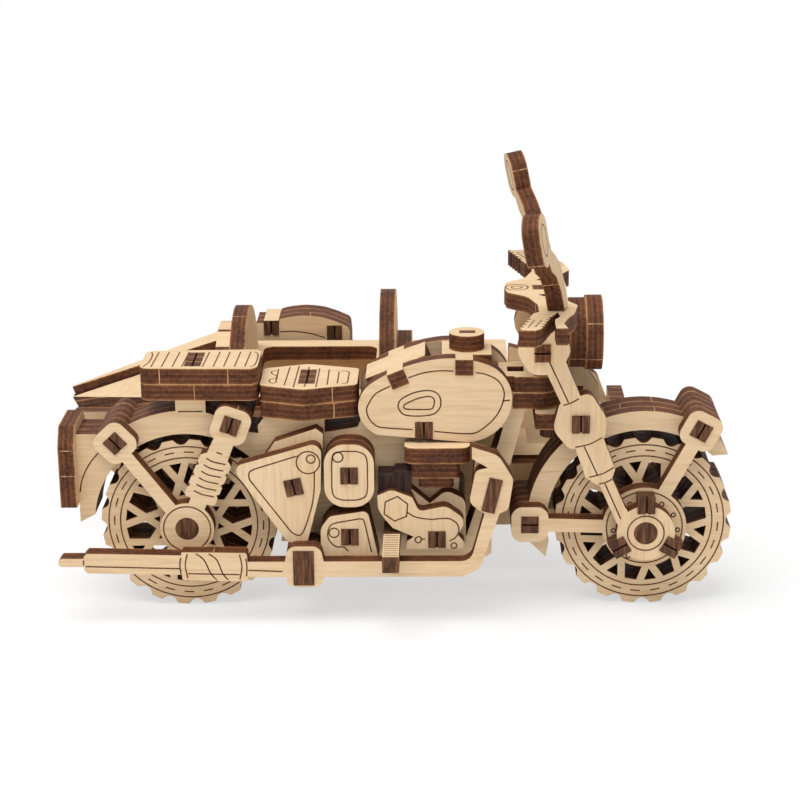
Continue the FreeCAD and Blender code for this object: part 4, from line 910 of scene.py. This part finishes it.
class PLYMOTO_OT_engrave_body(bpy.types.Operator):
    """Engrave the tank, seats, covers, exhaust, stays and mudguard of the motorcycle"""
    bl_idname = "plymoto.engrave_body"
    bl_label = "Motorcycle engravings"

    def execute(self, context):
        for name, groups in (
            ("tank", both(TANK, TANK_FACE)),
            ("covers", [(near(-COVER_FACE), TRIANGLE + OVAL + GEARBOX + ENGINE),
                        (far(TANK_FACE), OVAL + GEARBOX + ENGINE[:1])]),
            ("shock_absorbers", both(SHOCK, TANK_FACE)),
            ("exhaust", [(near(-EXHAUST_FACE), EXHAUST)]),
            ("rear_mudguard", both(REAR_FENDER, FRAME_FACE)),
            ("pillion_seat", [(level(PILLION_TOP), PILLION)]),
            ("rider_seat", [(level(RIDER_TOP), RIDER)]),
        ):
            engrave("engraving_" + name, "chassis", groups)
        cap_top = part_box("filler_cap")[1][2] / MM
        slit = [line((10.9, 0.0), (14.8, 0.0))]
        engrave("filler_cap_slit", "chassis", [(level(cap_top), slit)], CAP_SLIT)
        return {"FINISHED"}


class PLYMOTO_OT_engrave_fork(bpy.types.Operator):
    """Engrave the fork legs, brake discs, handlebar and mirrors"""
    bl_idname = "plymoto.engrave_fork"
    bl_label = "Fork engravings"

    def execute(self, context):
        engrave("engraving_fork_legs", "fork", both(FORK_LEG, COVER_FACE))
        engrave("engraving_brake_discs", "fork", both(DISC, TANK_FACE))
        grips = []
        for k in range(GRIP_LINES):
            share = (k + 0.5) / GRIP_LINES
            for start, end in GRIP_ROWS:
                x, y = (start[i] + share * (end[i] - start[i]) for i in (0, 1))
                grips.append(line((x - 0.1, y - 0.35), (x + 0.1, y + 0.35)))
        grips += [([Vector((p.x, -p.y)) for p in points], closed) for points, closed in grips]
        gauge = [ring(GAUGE_X, 0, 2.7, 36), ring(GAUGE_X, 0, 1.25, 24)]
        engrave("engraving_handlebar", "fork", [(level(HANDLEBAR_TOP), gauge + grips)], BAR_LINE)
        for name, side in (("near", -1), ("far", 1)):
            across, width, height, slant = MIRROR_OVAL
            middle = sum(MIRROR_HEIGHTS[side]) / 2
            oval = loop(*[(across + width * math.cos(a) + slant * math.sin(a),
                           middle + height * math.sin(a))
                          for a in (2 * math.pi * k / 12 for k in range(12))])
            engrave("engraving_mirror_" + name, "fork",
                    [(mirror_plane(side, sign), [oval]) for sign in (-1, 1)])
        return {"FINISHED"}


class PLYMOTO_OT_engrave_sidecar(bpy.types.Operator):
    """Engrave the wheel guard of the sidecar"""
    bl_idname = "plymoto.engrave_sidecar"
    bl_label = "Sidecar engravings"

    def execute(self, context):
        engrave("engraving_wheel_guard", "chassis",
                [(near(PANEL_FACE), GUARD), (far(ARCH_FACE + 2 * PLY), GUARD[1:])])
        return {"FINISHED"}


class PLYMOTO_OT_foot_peg(bpy.types.Operator):
    """Lay the pale ribbed top on the foot peg"""
    bl_idname = "plymoto.foot_peg"
    bl_label = "Foot peg"

    def execute(self, context):
        finishes = FINISHES["kit"]
        top = level(FOOT_PEG_TOP)
        x, start, end, width = FOOT_PEG
        mesh = bmesh.new()
        ribbon(mesh, top, [Vector((x, start)), Vector((x, end))], False, width)
        add_piece(mesh, "foot_peg_top", "chassis", finishes.pale("bare_birch"))
        left, right, first, step, number, width = FOOT_RIBS
        mesh = bmesh.new()
        for y in (first - step * k for k in range(number)):
            ribbon(mesh, top, [Vector((left, y)), Vector((right, y))], False, width, 0.0, RIB_PROUD)
        finish = finishes.scorched("engraved_lines", finishes.wood.line)
        add_piece(mesh, "foot_peg_ribs", "chassis", finish)
        return {"FINISHED"}


# Nib lines by body: node, start and direction of a ray to the edge, and the line's direction
NIBS = {
    "chassis": (
        ("pillion_seat_upper", (-61.1, -20.0, 59.8), "Y", "Z"),
        ("pillion_seat_lower", (-52.8, -20.0, 55.8), "Y", "Z"),
        ("pillion_seat_upper", (-44.6, -20.0, 59.8), "Y", "Z"),
        ("rider_seat_upper", (-19.6, -20.0, 55.3), "Y", "Z"),
        ("rider_seat_lower", (-19.3, -20.0, 51.3), "Y", "Z"),
        ("pillion_seat_upper", (-52.0, 20.0, 59.8), "-Y", "Z"),
        ("rider_seat_upper", (-30.0, 20.0, 55.3), "-Y", "Z"),
        ("exhaust_near", (-48.6, -16.0, 25.0), "-Z", "Y"),
        ("tail_board", (-84.0, -20.0, 41.6), "Y", "X"),
        ("tail_board", (-84.0, -20.0, 35.1), "Y", "X"),
        ("tail_board", (-84.0, 20.0, 38.0), "-Y", "X"),
        ("rear_stay_near", (-42.3, -8.0, 60.0), "-Z", "Y"),
        ("rear_stay_far", (-42.3, 8.0, 60.0), "-Z", "-Y"),
        ("sidecar_windscreen", (-7.4, 30.0, 52.0), "Y", "X"),
        ("sidecar_backrest", (-46.0, 40.0, 80.0), "-Z", "X"),
        ("sidecar_guard_panel", (-30.0, 78.0, 60.0), "-Z", "Y"),
    ),
    "fork": (
        ("headlight", (39.1, -20.0, 63.4), "Y", "X"),
        ("headlight", (43.1, -20.0, 72.4), "Y", "X"),
        ("headlight", (43.1, -20.0, 63.5), "Y", "X"),
        ("headlight", (43.1, 20.0, 68.0), "-Y", "X"),
        ("fork_leg_near", (45.0, -12.0, 80.0), "-Z", "Y"),
        ("handlebar", (28.6, -20.0, 77.4), "Y", "Z"),
        ("front_fender_near", (58.0, -4.0, 60.0), "-Z", "Y"),
        ("front_fender_middle", (50.0, 0.0, 60.0), "-Z", "Y"),
        ("front_fender_far", (58.0, 4.0, 60.0), "-Z", "Y"),
    ),
}


class PLYMOTO_OT_nibs(bpy.types.Operator):
    """Pale nib lines where the parts were held in their sheet"""
    bl_idname = "plymoto.nibs"
    bl_label = "Nib lines"

    def execute(self, context):
        finishes = FINISHES["kit"]
        for body, places in NIBS.items():
            mesh = bmesh.new()
            for node, start, direction, along in places:
                nib(mesh, node, start, AXES[direction], AXES[along])
            if body == "fork":
                self.mirror_nibs(mesh)
            finish = finishes.scorched("nib_lines", finishes.wood.nib)
            add_piece(mesh, "nib_lines_" + body, body, finish)
        return {"FINISHED"}

    def mirror_nibs(self, mesh):
        for name, side in (("mirror_near", -1), ("mirror_far", 1)):
            across, up, through = mirror_axes(side)
            middle = mirror_foot(side) + through * PLY / 2
            for height, sign in MIRROR_NIBS[side]:
                start = middle + 30.0 * sign * across + height * up
                nib(mesh, name, start - MIDDLE, -sign * across, through)


class PLYMOTO_OT_plywood(bpy.types.Operator):
    """Give every plate its birch faces and scorched edges"""
    bl_idname = "plymoto.plywood"
    bl_label = "Plywood"

    def execute(self, context):
        FINISHES["kit"] = Finishes(context.scene.plymoto_wood)
        for name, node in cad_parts.items():
            finish = finish_of(name)
            for slot in node.material_slots:
                slot.material = finish
        return {"FINISHED"}


class PLYMOTO_OT_stage(bpy.types.Operator):
    """Set up the camera, the lights and the pale floor"""
    bl_idname = "plymoto.stage"
    bl_label = "Studio"

    def execute(self, context):
        scene = context.scene
        studio = scene.plymoto_studio
        scene.view_settings.view_transform = "Standard"
        self.camera(scene)
        self.floor(scene)
        self.surroundings(scene, studio.world_level)
        self.lamp(scene, "key", *KEY_LAMP, studio.key_power)
        self.lamp(scene, "fill", *FILL_LAMP, studio.fill_power)
        return {"FINISHED"}

    def camera(self, scene):
        data = bpy.data.cameras.new("photo_camera")
        data.sensor_width = 36
        data.lens = LENS
        data.clip_start = 0.01
        data.clip_end = 20
        camera = bpy.data.objects.new("photo_camera", data)
        scene.collection.objects.link(camera)
        yaw, pitch, roll = (math.radians(a) for a in CAMERA_TURN)
        look = Vector((math.sin(yaw) * math.cos(pitch), math.cos(yaw) * math.cos(pitch),
                       -math.sin(pitch)))
        flat = Vector((math.cos(yaw), -math.sin(yaw), 0))
        upright = flat.cross(look)
        right = math.cos(roll) * flat + math.sin(roll) * upright
        up = math.cos(roll) * upright - math.sin(roll) * flat
        place = Vector(CAMERA_PLACE) * MM
        turned = Matrix((right, up, -look)).transposed().to_4x4()
        camera.matrix_world = Matrix.Translation(place) @ turned
        scene.camera = camera

    def floor(self, scene):
        """A white floor that keeps the model's soft shadow."""
        data = bpy.data.meshes.new("floor")
        corners = [(x * FLOOR_REACH, y * FLOOR_REACH, 0) for x, y in ((-1, -1), (1, -1), (1, 1), (-1, 1))]
        data.from_pydata(corners, [], [(0, 1, 2, 3)])
        floor = bpy.data.objects.new("floor", data)
        scene.collection.objects.link(floor)
        material = bpy.data.materials.new("white_floor")
        material.use_nodes = True
        tree = material.node_tree
        shader = tree.nodes["Principled BSDF"]
        shader.inputs["Base Color"].default_value = (0.96, 0.96, 0.96, 1)
        shader.inputs["Roughness"].default_value = 0.9
        place = tree.nodes.new("ShaderNodeTexCoord")
        radius = add_node(tree, "VectorMath", operation="LENGTH",
                          inputs={0: place.outputs["Object"]})
        away = spread(tree, radius.outputs["Value"], *FADE, 0.6, 1.0)
        rays = tree.nodes.new("ShaderNodeLightPath")
        white = add_node(tree, "Emission", inputs={"Color": (1, 1, 1, 1), "Strength": 1.0})
        seen = maths(tree, "MULTIPLY", away, rays.outputs["Is Camera Ray"])
        mixed = add_node(tree, "MixShader", inputs={
            0: seen, 1: shader.outputs[0], 2: white.outputs[0]})
        tree.links.new(mixed.outputs[0], tree.nodes["Material Output"].inputs["Surface"])
        data.materials.append(material)

    def surroundings(self, scene, strength):
        """Even light from all round, seen by the camera as plain white."""
        world = bpy.data.worlds.new("studio")
        scene.world = world
        world.use_nodes = True
        tree = world.node_tree
        background = tree.nodes["Background"]
        background.inputs["Color"].default_value = (1, 1, 1, 1)
        rays = tree.nodes.new("ShaderNodeLightPath")
        seen = maths(tree, "MAXIMUM", rays.outputs["Is Camera Ray"], rays.outputs["Is Glossy Ray"])
        given = add_node(tree, "MapRange", inputs={
            "Value": seen, "To Min": strength, "To Max": 1.0})
        tree.links.new(given.outputs[0], background.inputs["Strength"])

    def lamp(self, scene, name, place, width, power):
        """A square area lamp aimed at the middle of the model."""
        data = bpy.data.lights.new(name, "AREA")
        data.size = width
        data.energy = power
        lamp = bpy.data.objects.new(name, data)
        scene.collection.objects.link(lamp)
        lamp.location = place
        aim = Vector(LAMP_AIM) - Vector(place)
        lamp.rotation_euler = aim.to_track_quat("-Z", "Y").to_euler()


OPERATORS = (PLYMOTO_OT_stage, PLYMOTO_OT_plywood, PLYMOTO_OT_mirrors, PLYMOTO_OT_cylinder,
             PLYMOTO_OT_wheel_guard, PLYMOTO_OT_engrave_wheels, PLYMOTO_OT_engrave_body,
             PLYMOTO_OT_engrave_fork, PLYMOTO_OT_engrave_sidecar, PLYMOTO_OT_foot_peg, PLYMOTO_OT_nibs)


class PLYMOTO_PT_panel(bpy.types.Panel):
    """The model's pieces and settings"""
    bl_idname = "PLYMOTO_PT_panel"
    bl_label = "Plywood Model"
    bl_space_type = "VIEW_3D"
    bl_region_type = "UI"
    bl_category = "Plywood Model"

    def draw(self, context):
        for settings in (context.scene.plymoto_wood, context.scene.plymoto_studio):
            box = self.layout.box()
            for key in settings.__annotations__:
                box.prop(settings, key)
        column = self.layout.column(align=True)
        for operator in OPERATORS:
            column.operator(operator.bl_idname)


CLASSES = (PLYMOTO_PG_wood, PLYMOTO_PG_studio) + OPERATORS + (PLYMOTO_PT_panel,)


def register():
    for cls in CLASSES:
        bpy.utils.register_class(cls)
    bpy.types.Scene.plymoto_wood = PointerProperty(type=PLYMOTO_PG_wood)
    bpy.types.Scene.plymoto_studio = PointerProperty(type=PLYMOTO_PG_studio)


def unregister():
    del bpy.types.Scene.plymoto_studio
    del bpy.types.Scene.plymoto_wood
    for cls in reversed(CLASSES):
        bpy.utils.unregister_class(cls)


def main():
    register()
    for cls in OPERATORS:
        group, name = cls.bl_idname.split(".")
        getattr(getattr(bpy.ops, group), name)()


if __name__ == "__main__":
    main()
